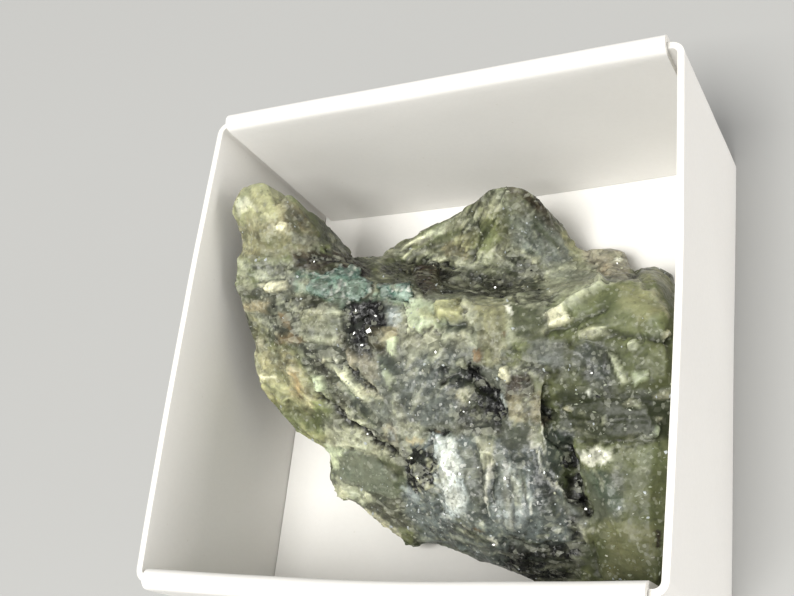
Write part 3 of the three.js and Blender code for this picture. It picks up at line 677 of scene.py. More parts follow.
# Rounded swellings: place and radius in view units, height in mm.
BULGES = [(607, 264, 24, 0.55), (655, 282, 20, 0.45), (636, 304, 38, 0.30), (575, 283, 30, 0.30), (262, 205, 45, 0.40)]

# Cracks and ledges: points, half width in view units, depth in mm (minus raises).
CUTS = [
    ([(316, 398), (330, 408), (346, 422), (364, 434), (376, 446), (390, 452)], 4, 0.40),
    ([(346, 366), (356, 378), (370, 396)], 4, 0.35),
    ([(440, 374), (470, 374), (496, 396), (502, 416)], 6, 0.50),
    ([(424, 434), (446, 436)], 5, 0.35),
    ([(568, 446), (576, 466), (574, 490), (586, 512)], 6, 0.8),
    ([(546, 404), (552, 416)], 5, 0.6),
    ([(548, 386), (552, 430), (560, 450)], 4, 0.35),
    ([(548, 334), (572, 325), (604, 308)], 4, 0.45),
    ([(438, 322), (464, 324)], 5, 0.55),
    ([(404, 334), (438, 332)], 3, 0.25),
    ([(403, 298), (403, 330)], 2.5, 0.3),
    ([(431, 298), (433, 320)], 2.0, 0.2),
    ([(461, 298), (462, 320)], 2.5, 0.3),
    ([(346, 305), (350, 340)], 4, 0.25),
    ([(300, 308), (322, 300), (345, 290)], 2.5, 0.25),
    ([(545, 298), (562, 300), (604, 282)], 3, 0.3),
    ([(326, 478), (345, 488), (370, 496), (396, 502)], 2.5, 0.2),
    ([(346, 450), (374, 457), (396, 478)], 2.5, 0.2),
    ([(430, 440), (428, 470), (440, 515)], 4, 0.35),
    ([(470, 446), (478, 486), (482, 520)], 4, 0.3),
    ([(490, 466), (488, 505)], 3, 0.25),
    ([(556, 404), (650, 402)], 2.5, 0.10),
    ([(570, 421), (650, 419)], 2.5, 0.10),
    ([(584, 440), (660, 440)], 3, 0.14),
    ([(400, 258), (428, 262), (455, 268)], 3, 0.3),
    ([(440, 280), (480, 288), (520, 290)], 5, 0.4),
    ([(298, 300), (298, 338)], 3, 0.25),
    ([(345, 308), (346, 340)], 3, 0.25),
    ([(300, 345), (345, 345)], 3, 0.2),
    ([(505, 345), (526, 368), (548, 370)], 3, 0.2),
    ([(504, 546), (545, 550), (578, 545)], 5, 0.5),
    ([(590, 545), (600, 578)], 4, 0.3),
    ([(470, 262), (476, 240), (468, 216)], 3, 0.25),
    ([(505, 250), (512, 215), (506, 190)], 2.5, -0.15),
    ([(606, 332), (640, 338), (668, 342)], 3, 0.25),
    ([(536, 453), (541, 470), (552, 482), (570, 496)], 2, -0.12),
    ([(294, 247), (330, 252), (368, 260)], 4, 0.2),
    ([(588, 256), (594, 272), (612, 278), (632, 276)], 3, 0.35),
    ([(633, 262), (637, 276), (650, 290)], 3, 0.35),
]


def seg_dist(u, v, pts):
    d = np.full(len(u), 1e9)
    if len(pts) == 1:
        return np.hypot(u - pts[0][0], v - pts[0][1])
    for (x0, y0), (x1, y1) in zip(pts[:-1], pts[1:]):
        dx, dy = x1 - x0, y1 - y0
        t = np.clip(((u - x0) * dx + (v - y0) * dy) / max(dx * dx + dy * dy, 1e-9), 0, 1)
        d = np.minimum(d, np.hypot(u - x0 - t * dx, v - y0 - t * dy))
    return d


def area_dist(u, v, pts):
    """Signed distance to an area's edge, negative inside."""
    d = seg_dist(u, v, pts + pts[:1])
    inside = np.zeros(len(u), bool)
    j = len(pts) - 1
    for i in range(len(pts)):
        xi, yi = pts[i]
        xj, yj = pts[j]
        if yi != yj:
            inside ^= ((yi > v) != (yj > v)) & (u < (xj - xi) * (v - yi) / (yj - yi) + xi)
        j = i
    return np.where(inside, -d, d)


def cover_of(u, v, pts, width, soft):
    """Cover of an area or streak, 0 to 1, worked out only near it."""
    xs, ys = [p[0] for p in pts], [p[1] for p in pts]
    pad = soft + (width or 0)
    out = np.zeros(len(u))
    i = np.nonzero((u > min(xs) - pad) & (u < max(xs) + pad) & (v > min(ys) - pad) & (v < max(ys) + pad))[0]
    if len(i):
        d = area_dist(u[i], v[i], pts) if width is None else seg_dist(u[i], v[i], pts) - width * 0.5
        out[i] = 1 - smooth(-0.5 * soft, 0.5 * soft, d)
    return out


def facet(P, N, Q, E, rng, size, amount, tilt, warp=0.12, limit=0.11):
    """Presses points towards flat broken faces of about the given size that
    meet in creases."""
    quad = 0.5 * np.linalg.norm(np.cross(P[Q[:, 2]] - P[Q[:, 0]], P[Q[:, 3]] - P[Q[:, 1]]), axis=1)
    k = max(8, int(quad.sum() / size ** 2))
    pick = rng.choice(len(P), min(k, len(P)), replace=False)
    S = P[pick]
    SN = N[pick] + tilt * rng.normal(size=(len(pick), 3))
    SN /= np.linalg.norm(SN, axis=1)[:, None]
    W = P / size
    Pw = P + warp * size * np.stack([vnoise(W * 1.7, 5), vnoise(W * 1.7, 6), vnoise(W * 1.7, 7)], 1)
    kd = KDTree(len(pick))
    for i, c in enumerate(S):
        kd.insert(c, i)
    kd.balance()
    near = np.array([[h[1] for h in kd.find_n(q, 4)] for q in Pw])
    slope = np.clip((N[:, None] * SN[near]).sum(2), 0.5, 1)
    d = ((S[near] - P[:, None]) * SN[near]).sum(2) / slope
    own = near[:, 0]
    count = np.maximum(np.bincount(own, minlength=len(pick)), 1)
    off = -np.bincount(own, np.clip(d[:, 0], -size, size), len(pick)) / count
    off += rng.uniform(-0.5, 0.5, len(pick)) * size * 0.07
    d += off[near]
    bend = ((relax(P, E, 30) - P) * N).sum(1)
    hollow = smooth(-0.03, 0.05, relax(bend, E, 10))
    order = np.argsort(d, axis=1)
    row = np.arange(len(P))
    lowest, highest = d[row, order[:, 0]], d[row, order[:, 2]]
    mine = near[row, np.where(hollow < 0.5, order[:, 0], order[:, 2])]
    d = lowest + (highest - lowest) * hollow
    d = relax(limit * size * np.tanh(d / (limit * size)), E, 1)
    way = relax(N, E, 5)
    way /= np.maximum(np.linalg.norm(way, axis=1), 1e-9)[:, None]
    return P + way * (d * amount)[:, None], rng.uniform(0, 1, len(pick))[mine]


# ---------------------------------------------------------------- stone
VOXEL = 0.205
P, Q = remeshed([(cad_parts["matrix"], 1.0), (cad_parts["emerald_left"], 1.10),
                 (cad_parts["emerald_right"], 1.14)], VOXEL)
E = edges_of(Q)
P = relax(P, E, 5, 0.5)
N = normals(P, Q)


def shown_from_eye(P, Q, E, N):
    """1 where a point of the mesh is open to the viewpoint, 0 where hidden."""
    tree = BVHTree.FromPolygons(P.tolist(), Q.tolist())
    Ns = relax(N, E, 8)
    Ns /= np.maximum(np.linalg.norm(Ns, axis=1), 1e-9)[:, None]
    start = P + Ns * 0.12
    to_eye = EYE - start
    to_eye /= np.linalg.norm(to_eye, axis=1)[:, None]
    facing = (Ns * to_eye).sum(1)
    seen = np.zeros(len(P))
    for i in np.nonzero(facing > -0.05)[0]:
        if tree.ray_cast(Vector(start[i]), Vector(to_eye[i]), 60.0)[0] is None:
            seen[i] = 1.0
    seen = smooth(0.25, 0.6, relax(seen, E, 3))
    for _ in range(9):
        wide = seen.copy()
        np.maximum.at(wide, E[:, 0], 0.97 * seen[E[:, 1]])
        np.maximum.at(wide, E[:, 1], 0.97 * seen[E[:, 0]])
        seen = np.where(facing > -0.75, wide, seen)
    return seen


shown = shown_from_eye(P, Q, E, N)
u, v = to_view(P)
un = u + 3.0 * fbm(P * 0.9, 31, 3) + 2.2 * fbm(P * 3.0, 33, 2)
vn = v + 3.0 * fbm(P * 0.9, 41, 3) + 2.2 * fbm(P * 3.0, 43, 2)


# direction of the grain of the rock at points of the view, in degrees
GUIDES = [(255, 215, 62), (290, 235, 48), (262, 275, 20), (270, 330, 40), (300, 400, 42), (345, 418, 35), (340, 385, 46),
          (320, 325, 10), (340, 283, -12), (395, 290, -5), (362, 325, 60), (420, 312, 75), (485, 330, 82), (430, 375, 118),
          (370, 475, 14), (385, 525, 35), (415, 470, 70), (444, 480, 79), (472, 480, 84), (512, 490, 82), (560, 500, 62),
          (470, 545, 15), (530, 560, 5), (525, 410, 75), (525, 355, 20), (595, 365, 68), (575, 312, -27), (640, 305, -14),
          (610, 412, -3), (560, 450, 80), (600, 490, 55), (635, 520, 8), (630, 365, 35), (420, 243, -28), (480, 235, -60),
          (550, 232, 50), (460, 284, 8), (520, 277, 30), (575, 283, -12), (610, 263, 20), (655, 282, 30), (470, 405, 45)]
near_view = np.nonzero(shown > 0.01)[0]
gw = np.exp(-np.stack([np.hypot(u[near_view] - x, v[near_view] - y) for x, y, _ in GUIDES], 1) / 9.0)
gw /= gw.sum(1)[:, None]


def streak(across, along, seed):
    """Noise drawn out along the grain of the rock."""
    out = fbm(P * np.array((10.0 / along, 10.0 / across, 10.0 / across)), seed, 2)
    part = np.zeros(len(near_view))
    for g, (x, y, deg) in enumerate(GUIDES):
        i = np.nonzero(gw[:, g] > 0.03)[0]
        if len(i) == 0:
            continue
        cs, sn = math.cos(math.radians(deg)), math.sin(math.radians(deg))
        uu, vv = u[near_view[i]] - x, v[near_view[i]] - y
        q = np.stack([(uu * cs + vv * sn) / along, (vv * cs - uu * sn) / across, np.full(len(i), g * 3.7)], 1)
        part[i] += gw[i, g] * fbm(q, seed, 2)
    out[near_view] += (part - out[near_view]) * shown[near_view]
    return out


fine_s = streak(2.6, 20.0, 301)
mid_s = streak(5.0, 42.0, 311)
wide_s = streak(11.0, 70.0, 321)
# the glassy parts are plain, with little streaking
calm = np.zeros(len(P))
for pts in ([(562, 386), (690, 386), (690, 600), (592, 600), (596, 470), (572, 440)],
            [(604, 284), (640, 276), (690, 300), (690, 334), (606, 332)],
            [(578, 246), (600, 230), (640, 232), (640, 262), (632, 279), (590, 279)],
            [(634, 262), (660, 252), (700, 290), (690, 318), (660, 300)],
            [(336, 448), (398, 468), (400, 500), (336, 486)]):
    calm = np.maximum(calm, cover_of(u, v, pts, None, 18))
fine_s *= 1 - 0.5 * calm
mid_s *= 1 - 0.65 * calm
wide_s *= 1 - 0.5 * calm
ga = np.zeros((len(P), 2))
ga[near_view] = gw @ np.array([(math.cos(math.radians(2 * d)), math.sin(math.radians(2 * d))) for _, _, d in GUIDES])
ang = 0.5 * np.arctan2(ga[:, 1], ga[:, 0])
un = un + np.cos(ang) * (9.0 * mid_s + 5.0 * fine_s)
vn = vn + np.sin(ang) * (9.0 * mid_s + 5.0 * fine_s)

names = list(MINERALS)
props = np.array([[*MINERALS[k][0], *MINERALS[k][1:]] for k in names])


def prop(k):
    return props[names.index(k)]


def lay(M, k, a):
    return M + (prop(k) - M) * a[:, None]


# under layer: the same minerals in bands and blotches all round
band = fbm(P @ np.array(((0.9, 0.25, 0.1), (-0.3, 0.8, 0.35), (0.2, -0.5, 1.6))).T * 0.16, 3, 4)
blot = fbm(P * 0.35, 11, 4)
M = np.tile(prop("schist"), (len(P), 1))
M = lay(M, "olive", smooth(-0.05, 0.25, band) * 0.9)
M = lay(M, "dolive", smooth(0.12, 0.35, blot) * 0.8)
M = lay(M, "grey", smooth(0.10, 0.35, -blot) * 0.8)
M = lay(M, "black", smooth(0.30, 0.42, fbm(P * 0.5, 21, 4)) * 0.5)
M = lay(M, "pale", smooth(0.30, 0.45, fbm(P * 0.6, 23, 4)) * 0.7)

for k, cover, soft, pts, width in MARKS:
    M = lay(M, k, cover_of(un, vn, pts, width, soft) * cover * shown)

# chips and blades lying in the surface, and the painted shadow under the blade
for k, thick, outline in SHARDS:
    M = lay(M, k, cover_of(u, v, outline, None, 2.5) * 0.85 * shown)

# streaks and grains of neighbouring minerals, few in the waxy parts
g1 = vnoise(P * 2.9, 51)
g2 = vnoise(P * 3.3, 52)
opaque = 1 - smooth(0.30, 0.60, M[:, 4])
clear = smooth(0.012, 0.05, M[:, 1])
M = lay(M, "pale", smooth(0.38, 0.62, mid_s) * (0.08 + 0.34 * opaque) * clear)
M = lay(M, "dolive", smooth(0.30, 0.58, -mid_s) * (0.16 + 0.44 * opaque))
M = lay(M, "schist", smooth(0.25, 0.50, wide_s) * (0.10 + 0.28 * opaque) * clear)
M = lay(M, "olive", smooth(0.25, 0.50, -wide_s) * 0.30 * clear)
M = lay(M, "pale", smooth(0.58, 0.75, g1) * (0.06 + 0.25 * opaque) * clear)
M = lay(M, "dolive", smooth(0.52, 0.75, g2) * (0.05 + 0.40 * opaque))
for pts, light, dark in GRAINS:
    a = cover_of(un, vn, pts, None, 10) * shown
    M = lay(M, "black", smooth(0.08, 0.32, 0.6 * g2 + 0.6 * fine_s) * a * dark)
    M = lay(M, "pale", smooth(0.16, 0.40, 0.6 * g1 - 0.5 * fine_s) * a * light)

# relief
rng = np.random.default_rng(7)
grain, fac = M[:, 6].copy(), M[:, 7].copy()
fac *= 1 - 0.65 * cover_of(u, v, [(220, 170), (300, 176), (326, 246), (300, 262), (220, 262)], None, 20)
fac *= 1 - 0.60 * cover_of(u, v, [(556, 384), (690, 330), (690, 600), (590, 600), (592, 500)], None, 20)
fac *= 1 - 0.45 * cover_of(u, v, [(372, 262), (450, 205), (500, 176), (545, 180), (600, 255), (640, 240), (680, 270), (690, 330), (600, 320), (500, 262)], None, 16)
lively = 0.30 + 0.70 * smooth(0.12, 0.5, grain)
P0 = P.copy()
P, c1 = facet(P, N, Q, E, rng, 2.6, np.clip(1.1 * fac, 0, 1), 0.15, limit=0.12)
N = normals(P, Q)
P, c2 = facet(P, N, Q, E, rng, 1.15, np.clip(1.0 * fac, 0, 0.9), 0.18)
N = normals(P, Q)
P, c3 = facet(P, N, Q, E, rng, 0.6, np.clip(0.10 * fac + 0.7 * grain, 0, 0.85), 0.25)
N = normals(P, Q)
for k, thick, outline in SHARDS:
    a = cover_of(u, v, outline, None, 2.5) * shown
    i = np.nonzero(a > 0.02)[0]
    if len(i) < 8:
        continue
    c = P0[i].mean(0)
    pn = np.linalg.svd(P0[i] - c, full_matrices=False)[2][2]
    pn = pn * np.sign(pn.dot(N[i].mean(0))) + 0.10 * rng.normal(size=3)
    pn /= np.linalg.norm(pn)
    d = np.clip((c + pn * thick * 0.6 - P[i]) @ pn, -0.5, 0.5)
    P[i] += pn * (d * a[i])[:, None]
for bu, bv, radius, height in BULGES:
    a = np.clip(1 - ((u - bu) ** 2 + (v - bv) ** 2) / radius ** 2, 0, 1) * shown
    P = P + N * (a * height)[:, None]
lined = np.zeros(len(P))
for pts, deg, across, along, tone, deep in LINES:
    lined += cover_of(un, vn, pts, None, 12) * shown * tone
P = P + N * (0.07 * lively * mid_s + (0.01 + 0.10 * lined * lively) * fine_s)[:, None]
for pts, half, depth in CUTS:
    a = cover_of(un, vn, pts, 1.7 * half, 1.5 * half) * shown
    P = P - N * (a * depth)[:, None]
N = normals(P, Q)
P = P + N * (0.045 * grain * fbm(P * 2.2, 71, 3) + 0.025 * grain * vnoise(P * 4.6, 75))[:, None]
N = normals(P, Q)

# the thin edge of the slab keeps its shape
thin = cover_of(u, v, [(316, 472), (344, 474), (352, 500), (316, 506)], None, 12)
P = P - (P - P0) * (0.9 * thin)[:, None]
N = normals(P, Q)

# keep clear of the card
P[:, 0] = np.clip(P[:, 0], -19.35, 19.35)
P[:, 1] = np.clip(P[:, 1], -18.1, 18.1)
P[:, 2] = np.maximum(P[:, 2], 0.56)

# colour variation per broken face, with painted shade darkening the hollows and painted highlight lightening the
# crests
hollow = ((relax(P, E, 6) - P) * N).sum(1)
tone = 1 + 0.14 * (c1 - 0.5) + 0.34 * (0.3 + 0.7 * fac) * (c2 - 0.5) + 0.22 * grain * (c3 - 0.5) + 0.30 * fbm(P * 1.1, 81, 4) \
    + (0.25 * lively + 1.1 * lined) * fine_s + 0.24 * lively * mid_s
tone = 1 + (tone - 1) * (1 - 0.5 * calm)
# painted shade in the hollows and painted highlight on the crests
tone *= 1 - (0.25 + 0.37 * lively) * smooth(0.015, 0.13, hollow) + 0.32 * smooth(0.02, 0.12, -hollow)
BRIGHT = 0.78
for pts, gain in SHADES:
    tone = tone * (1 + (gain - 1) * cover_of(un, vn, pts, None, 16) * shown)
col = M[:, :3] * np.clip(tone, 0.20, 2.4)[:, None]
col = np.clip(col * (np.maximum(col.mean(1), 0.004) / 0.20)[:, None] ** 0.22 * BRIGHT, 0.004, 0.90)
warm = 0.05 * fbm(P * 0.8, 85, 3)
col[:, 0] *= 1 + warm
col[:, 2] *= 0.95 * (1 - warm)


def rock_material(name, gem=False):
    n = Nodes(name)
    b = n.bsdf
    base = n.attr("mineral").outputs["Color"]
    rough = n.attr("rough").outputs["Fac"]
    trans = n.attr("glow").outputs["Fac"]
    glint_and_fleck = n.attr("glint_and_fleck").outputs["Fac"]
    grainy = n.attr("grainy").outputs["Fac"]
    fine = n.noise(5200, 4.0, 0.65)

    def cells(scale, turn):
        t = n.add("ShaderNodeTexVoronoi", feature="F1")
        t.inputs["Scale"].default_value = 1.0
        n.link(n.coord(scale, turn), t.inputs["Vector"])
        parts = n.add("ShaderNodeSeparateColor")
        n.link(t.outputs["Color"], parts.inputs["Color"])
        return t.outputs["Color"], parts.outputs

    big, big_p = cells((1100, 2000, 2300), (0.5, 0.3, 0.7))
    mid, mid_p = cells((2000, 3000, 3600), (0.2, 0.9, 0.4))
    small, small_p = cells((4600, 4600, 4600), (0.0, 0.0, 0.0))
    # tone: broken faces of three sizes over the mineral colour
    swing = n.math("MULTIPLY", n.math("SUBTRACT", fine, 0.5), n.ramp(grainy, 0.1, 1.0, 0.42, 0.9))
    swing = n.math("ADD", swing, n.math("MULTIPLY", n.ramp(big_p[0], 0.0, 1.0, -0.22, 0.22), n.ramp(grainy, 0.1, 0.6, 0.35, 1.0)))
    swing = n.math("ADD", swing, n.math("MULTIPLY", n.ramp(mid_p[0], 0.0, 1.0, -0.22, 0.22), n.ramp(grainy, 0.1, 0.8, 0.12, 1.1)))
    tint = n.math("ADD", swing, 1.0)
    scale = n.add("ShaderNodeVectorMath", operation="SCALE")
    n.link(base, scale.inputs[0])
    n.link(tint, scale.inputs["Scale"])
    c = scale.outputs[0]
    deep = n.math("MULTIPLY", n.ramp(big_p[2], 0.86, 0.90), n.ramp(grainy, 0.1, 0.8, 0.05, 0.42))
    c = n.mix(deep, c, (0.035, 0.042, 0.030))
    chip = n.math("MULTIPLY", n.ramp(big_p[1], 0.90, 0.93), n.ramp(grainy, 0.1, 0.8, 0.05, 0.30))
    c = n.mix(chip, c, (0.40, 0.46, 0.40) if gem else (0.44, 0.45, 0.35))
    pale = n.math("MULTIPLY", n.ramp(mid_p[1], 0.88, 0.95), n.ramp(grainy, 0.15, 0.8, 0.03, 0.30))
    c = n.mix(pale, c, (0.40, 0.46, 0.40) if gem else (0.46, 0.47, 0.37))
    fleck = n.math("MULTIPLY", n.ramp(small_p[2], 0.91, 0.95), n.ramp(trans, 0.05, 0.4, 0.0, 0.24))
    c = n.mix(fleck, c, (0.44, 0.50, 0.43) if gem else (0.46, 0.47, 0.38))
    speck = n.math("MULTIPLY", n.ramp(small_p[1], 0.90, 0.95), n.ramp(trans, 0.05, 0.4, 0.0, 0.24))
    c = n.mix(speck, c, (0.030, 0.036, 0.025))
    # painted glint: small cells pushed towards near white in the base colour, more on sparkly minerals
    painted_glint = n.math("MULTIPLY", n.ramp(small_p[0], 0.93, 0.98), n.ramp(glint_and_fleck, 0.3, 1.0, 0.0, 0.6))
    c = n.mix(painted_glint, c, (0.66, 0.80, 0.72) if gem else (0.72, 0.72, 0.66))
    dark = n.math("MULTIPLY", n.ramp(small_p[1], 0.86, 0.95), n.ramp(glint_and_fleck, 0.2, 0.9, 0.0, 0.4))
    c = n.mix(dark, c, (0.02, 0.02, 0.018))
    n.link(c, b.inputs["Base Color"])
    r = n.math("ADD", rough, n.math("MULTIPLY", n.ramp(small_p[2], 0.0, 1.0, -0.18, 0.20), grainy))
    n.link(r, b.inputs["Roughness"])
    n.link(n.ramp(trans, 0.1, 1.0, 0.0, 0.40), b.inputs["Subsurface Weight"])
    b.inputs["Subsurface Radius"].default_value = (0.6, 0.95, 0.8) if gem else (0.75, 0.9, 0.6)
    b.inputs["Subsurface Scale"].default_value = 0.0006
    b.inputs["IOR"].default_value = 1.58 if gem else 1.54
    b.inputs["Specular IOR Level"].default_value = 0.45 if gem else 0.30
    if gem:
        b.inputs["Transmission Weight"].default_value = 0.10
    bump = n.add("ShaderNodeBump")
    bump.inputs["Distance"].default_value = 0.00010
    n.link(n.ramp(grainy, 0.1, 1.0, 0.08, 0.35), bump.inputs["Strength"])
    n.link(fine, bump.inputs["Height"])

    # each small face is turned a little its own way
    def lean(src, amount, normal):
        sub = n.add("ShaderNodeVectorMath", operation="SUBTRACT")
        n.link(src, sub.inputs[0])
        sub.inputs[1].default_value = (0.5, 0.5, 0.5)
        mul = n.add("ShaderNodeVectorMath", operation="SCALE")
        n.link(sub.outputs[0], mul.inputs[0])
        n.link(amount, mul.inputs["Scale"])
        add = n.add("ShaderNodeVectorMath", operation="ADD")
        n.link(mul.outputs[0], add.inputs[0])
        n.link(normal, add.inputs[1])
        return add.outputs[0]

    nrm = lean(big, n.ramp(grainy, 0.1, 1.0, 0.20, 0.62), bump.outputs["Normal"])
    nrm = lean(mid, n.ramp(grainy, 0.1, 1.0, 0.04, 0.58), nrm)
    nrm = lean(small, n.ramp(grainy, 0.1, 1.0, 0.14, 0.38), nrm)
    unit = n.add("ShaderNodeVectorMath", operation="NORMALIZE")
    n.link(nrm, unit.inputs[0])
    n.link(unit.outputs[0], b.inputs["Normal"])
    return n.m


def put_minerals(o, col, M):
    put_colour(o, "mineral", col)
    put_value(o, "rough", M[:, 3])
    put_value(o, "glow", M[:, 4])
    put_value(o, "glint_and_fleck", M[:, 5])
    put_value(o, "grainy", M[:, 6])


stone = new_object("matrix_stone", P, Q, [rock_material("broken_rock")])
put_minerals(stone, col, M)
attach(stone, "root")
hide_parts("matrix")


# ---------------------------------------------------------------- emerald masses
emerald_mat = rock_material("granular_emerald", gem=True)


def emerald(node, seed, outline, spots):
    """Crust of emerald grown into the stone, raised a little at its middle."""
    a = relax(cover_of(un, vn, outline, None, 6) * shown, E, 1)
    q = Q[(a[Q] > 0.45).all(1)]
    label = np.arange(len(P))
    while True:
        low = label[q].min(1)
        new = label.copy()
        for k in range(4):
            np.minimum.at(new, q[:, k], low)
        if (new == label).all():
            break
        label = new
    part = label[q[:, 0]]
    best = np.bincount(part).argmax()
    q = q[part == best]
    ids, local = np.unique(q, return_inverse=True)
    q = local.reshape(q.shape)
    base, nn, aa = P[ids], N[ids], a[ids]
    top = base + nn * (0.04 + 0.16 * smooth(0.45, 1.0, aa) + 0.05 * fbm(base * 3.0, seed, 3) * smooth(0.45, 0.8, aa))[:, None]
    k = len(ids)
    edge = np.concatenate([q[:, [0, 1]], q[:, [1, 2]], q[:, [2, 3]], q[:, [3, 0]]])
    code = edge.min(1) * k + edge.max(1)
    once = np.bincount(np.unique(code, return_inverse=True)[1])
    rim = edge[once[np.unique(code, return_inverse=True)[1]] == 1]
    wall = np.stack([rim[:, 1], rim[:, 0], rim[:, 0] + k, rim[:, 1] + k], 1)
    faces = np.concatenate([q, q[:, ::-1] + k, wall])
    m = np.tile(prop("teal"), (k, 1))
    m = lay(m, "pteal", smooth(0.0, 0.45, fbm(base * 0.9, seed + 3, 3)) * 0.5)
    uu, vv = un[ids], vn[ids]
    for name, cover, soft, pts, width in spots:
        m = lay(m, name, cover_of(uu, vv, pts, width, soft) * cover)
    m = lay(m, "dolive", smooth(0.30, 0.60, vnoise(base * 2.6, seed + 7)) * 0.30)
    m = lay(m, "black", smooth(0.42, 0.62, vnoise(base * 3.4, seed + 6)) * 0.55)
    m = lay(m, "pteal", smooth(0.28, 0.50, vnoise(base * 3.0, seed + 8)) * 0.8)
    m = lay(m, "white", smooth(0.48, 0.66, vnoise(base * 3.6, seed + 5)) * 0.6)
    m = lay(m, "schist", smooth(0.10, 0.35, mid_s[ids]) * 0.35)
    m = lay(m, "pale", (1 - smooth(0.45, 0.75, aa)) * 0.35)
    t = tone[ids] * (1 + 0.55 * fbm(base * 2.2, seed + 9, 2))
    c = np.clip(m[:, :3] * np.clip(t, 0.3, 2.2)[:, None] * BRIGHT, 0.004, 0.9)
    o = new_object(node + "_crystal", np.concatenate([top, base - nn * 0.9]), faces, [emerald_mat])
    put_minerals(o, np.concatenate([c, c]), np.concatenate([m, m]))
    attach(o, "root")
    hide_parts(node)
    return o


emerald("emerald_left", 101, [(301, 288), (312, 276), (330, 267), (350, 267), (367, 275), (371, 291), (357, 301), (336, 301), (314, 299)], [
    ("teal", 0.8, 6, [(330, 272), (350, 273)], 14),
    ("pteal", 0.9, 5, [(345, 280), (360, 278), (368, 286), (362, 297), (348, 296)], None),
    ("pteal", 0.6, 6, [(304, 290), (318, 294)], 9),
    ("schist", 0.6, 6, [(308, 282), (322, 288)], 8),
    ("black", 0.85, 3, [(335, 286), (342, 282)], 5),
    ("dolive", 0.6, 4, [(318, 280), (328, 286)], 4),
    ("pale", 0.6, 4, [(328, 296), (346, 299)], 4),
])
emerald("emerald_right", 202, [(378, 288), (387, 279), (403, 280), (415, 287), (414, 297), (400, 301), (384, 299)], [
    ("pteal", 0.6, 5, [(400, 287), (410, 294)], 9),
    ("teal", 0.7, 6, [(384, 288), (390, 296)], 8),
    ("pale", 0.7, 3, [(394, 285), (398, 288)], 4),
    ("dolive", 0.7, 4, [(379, 284), (382, 296)], 4),
])


# ---------------------------------------------------------------- flakes and chips
stone_tree = BVHTree.FromPolygons(P.tolist(), Q.tolist())


class Chips:
    """Many small angular plates gathered in one mesh."""

    def __init__(self):
        self.p, self.f, self.c = [], [], []

    def prism(self, top, low, rgb):
        k, i0 = len(top), len(self.p)
        self.p += [*top, *low]
        self.c += [rgb] * (2 * k)
        self.f.append(list(range(i0, i0 + k)))
        self.f.append([i0 + k + j for j in range(k)][::-1])
        for a in range(k):
            b = (a + 1) % k
            self.f.append([i0 + a, i0 + k + a, i0 + k + b, i0 + b])

    def plate(self, centre, normal, along, length, width, thick, rgb, rng, sides=6, taper=0.75):
        nrm = normal / np.linalg.norm(normal)
        a = along - nrm * along.dot(nrm)
        if np.linalg.norm(a) < 1e-6:
            a = np.cross(nrm, (0.3, 0.5, 0.8))
        a /= np.linalg.norm(a)
        b = np.cross(nrm, a)
        ang = (np.arange(sides) + rng.uniform(-0.28, 0.28, sides)) / sides * 2 * np.pi
        rad = rng.uniform(0.75, 1.1, sides)
        ring = (np.cos(ang) * rad)[:, None] * a * length * 0.5 + (np.sin(ang) * rad)[:, None] * b * width * 0.5
        self.prism(centre + ring * taper + nrm * thick * 0.5, centre + ring - nrm * thick * 0.5, rgb)

    def make(self, name, mat):
        o = new_object(name, np.array(self.p), self.f, [mat], smooth_shade=False)
        put_colour(o, "mineral", np.clip(np.array(self.c), 0.004, 0.95))
        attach(o, "root")
        return o


def flake_material(name, rough, sss, ior, bumpy=0.25):
    n = Nodes(name)
    b = n.bsdf
    base = n.attr("mineral").outputs["Color"]
    fine = n.noise(6000, 3.0, 0.6)
    broad = n.noise(1500, 3.0, 0.6)
    c = n.mix(1.0, base, n.mix(n.ramp(fine, 0.25, 0.75, 0.82, 1.12), (0.0, 0.0, 0.0), (1.0, 1.0, 1.0)), "MULTIPLY")
    c = n.mix(n.ramp(broad, 0.45, 0.75, 0.0, 0.55), c, n.mix(1.0, c, (0.62, 0.64, 0.52), "MULTIPLY"))
    n.link(c, b.inputs["Base Color"])
    n.link(n.ramp(fine, 0.3, 0.7, rough - 0.08, rough + 0.12), b.inputs["Roughness"])
    b.inputs["Subsurface Weight"].default_value = sss
    b.inputs["Subsurface Radius"].default_value = (0.8, 0.9, 0.7)
    b.inputs["Subsurface Scale"].default_value = 0.0006
    b.inputs["IOR"].default_value = ior
    n.link(n.bump(n.math("ADD", fine, broad), bumpy, 0.00010), b.inputs["Normal"])
    return n.m


upward = smooth(0.05, 0.40, N[:, 2]) * (P[:, 2] > 2.2)


def scatter(chips, weight, count, size, rgb, rng, tilt=0.35, slim=(0.45, 0.9), thick=0.18, along=None, vary=0.25):
    w = np.clip(weight, 0, None) * upward
    pick = rng.choice(len(P), count, p=w / w.sum())
    for i in pick:
        s = size[0] + (size[1] - size[0]) * rng.random() ** 2.2
        nr = N[i] + tilt * rng.normal(size=3)
        al = rng.normal(size=3) if along is None else np.array(along) + 0.35 * rng.normal(size=3)
        chips.plate(P[i] + N[i] * 0.02, nr, al, s, s * rng.uniform(*slim), s * thick + 0.03,
                    np.array(rgb) * (1 + vary * rng.uniform(-1, 1)), rng, sides=int(rng.integers(4, 7)))


def near_colour(k, width):
    return np.exp(-((M[:, :3] - prop(k)[:3]) ** 2).sum(1) / (2 * width ** 2))


# Mica flakes turned to mirror the key light towards the viewpoint; their near-white colour is partly a painted
# highlight. Place and size in view units.
GLINTS = [(369, 331, 11), (356, 311, 6), (354, 334, 7), (376, 316, 5), (362, 345, 5), (495, 288, 5), (585, 509, 5), (494, 544, 6), (617, 264, 4),
          (368, 434, 4), (470, 402, 4), (412, 458, 4), (443, 452, 5), (505, 478, 5), (590, 456, 5), (600, 451, 4),
          (592, 373, 4), (436, 352, 5), (314, 262, 4), (395, 287, 3), (418, 478, 4), (464, 412, 3)]

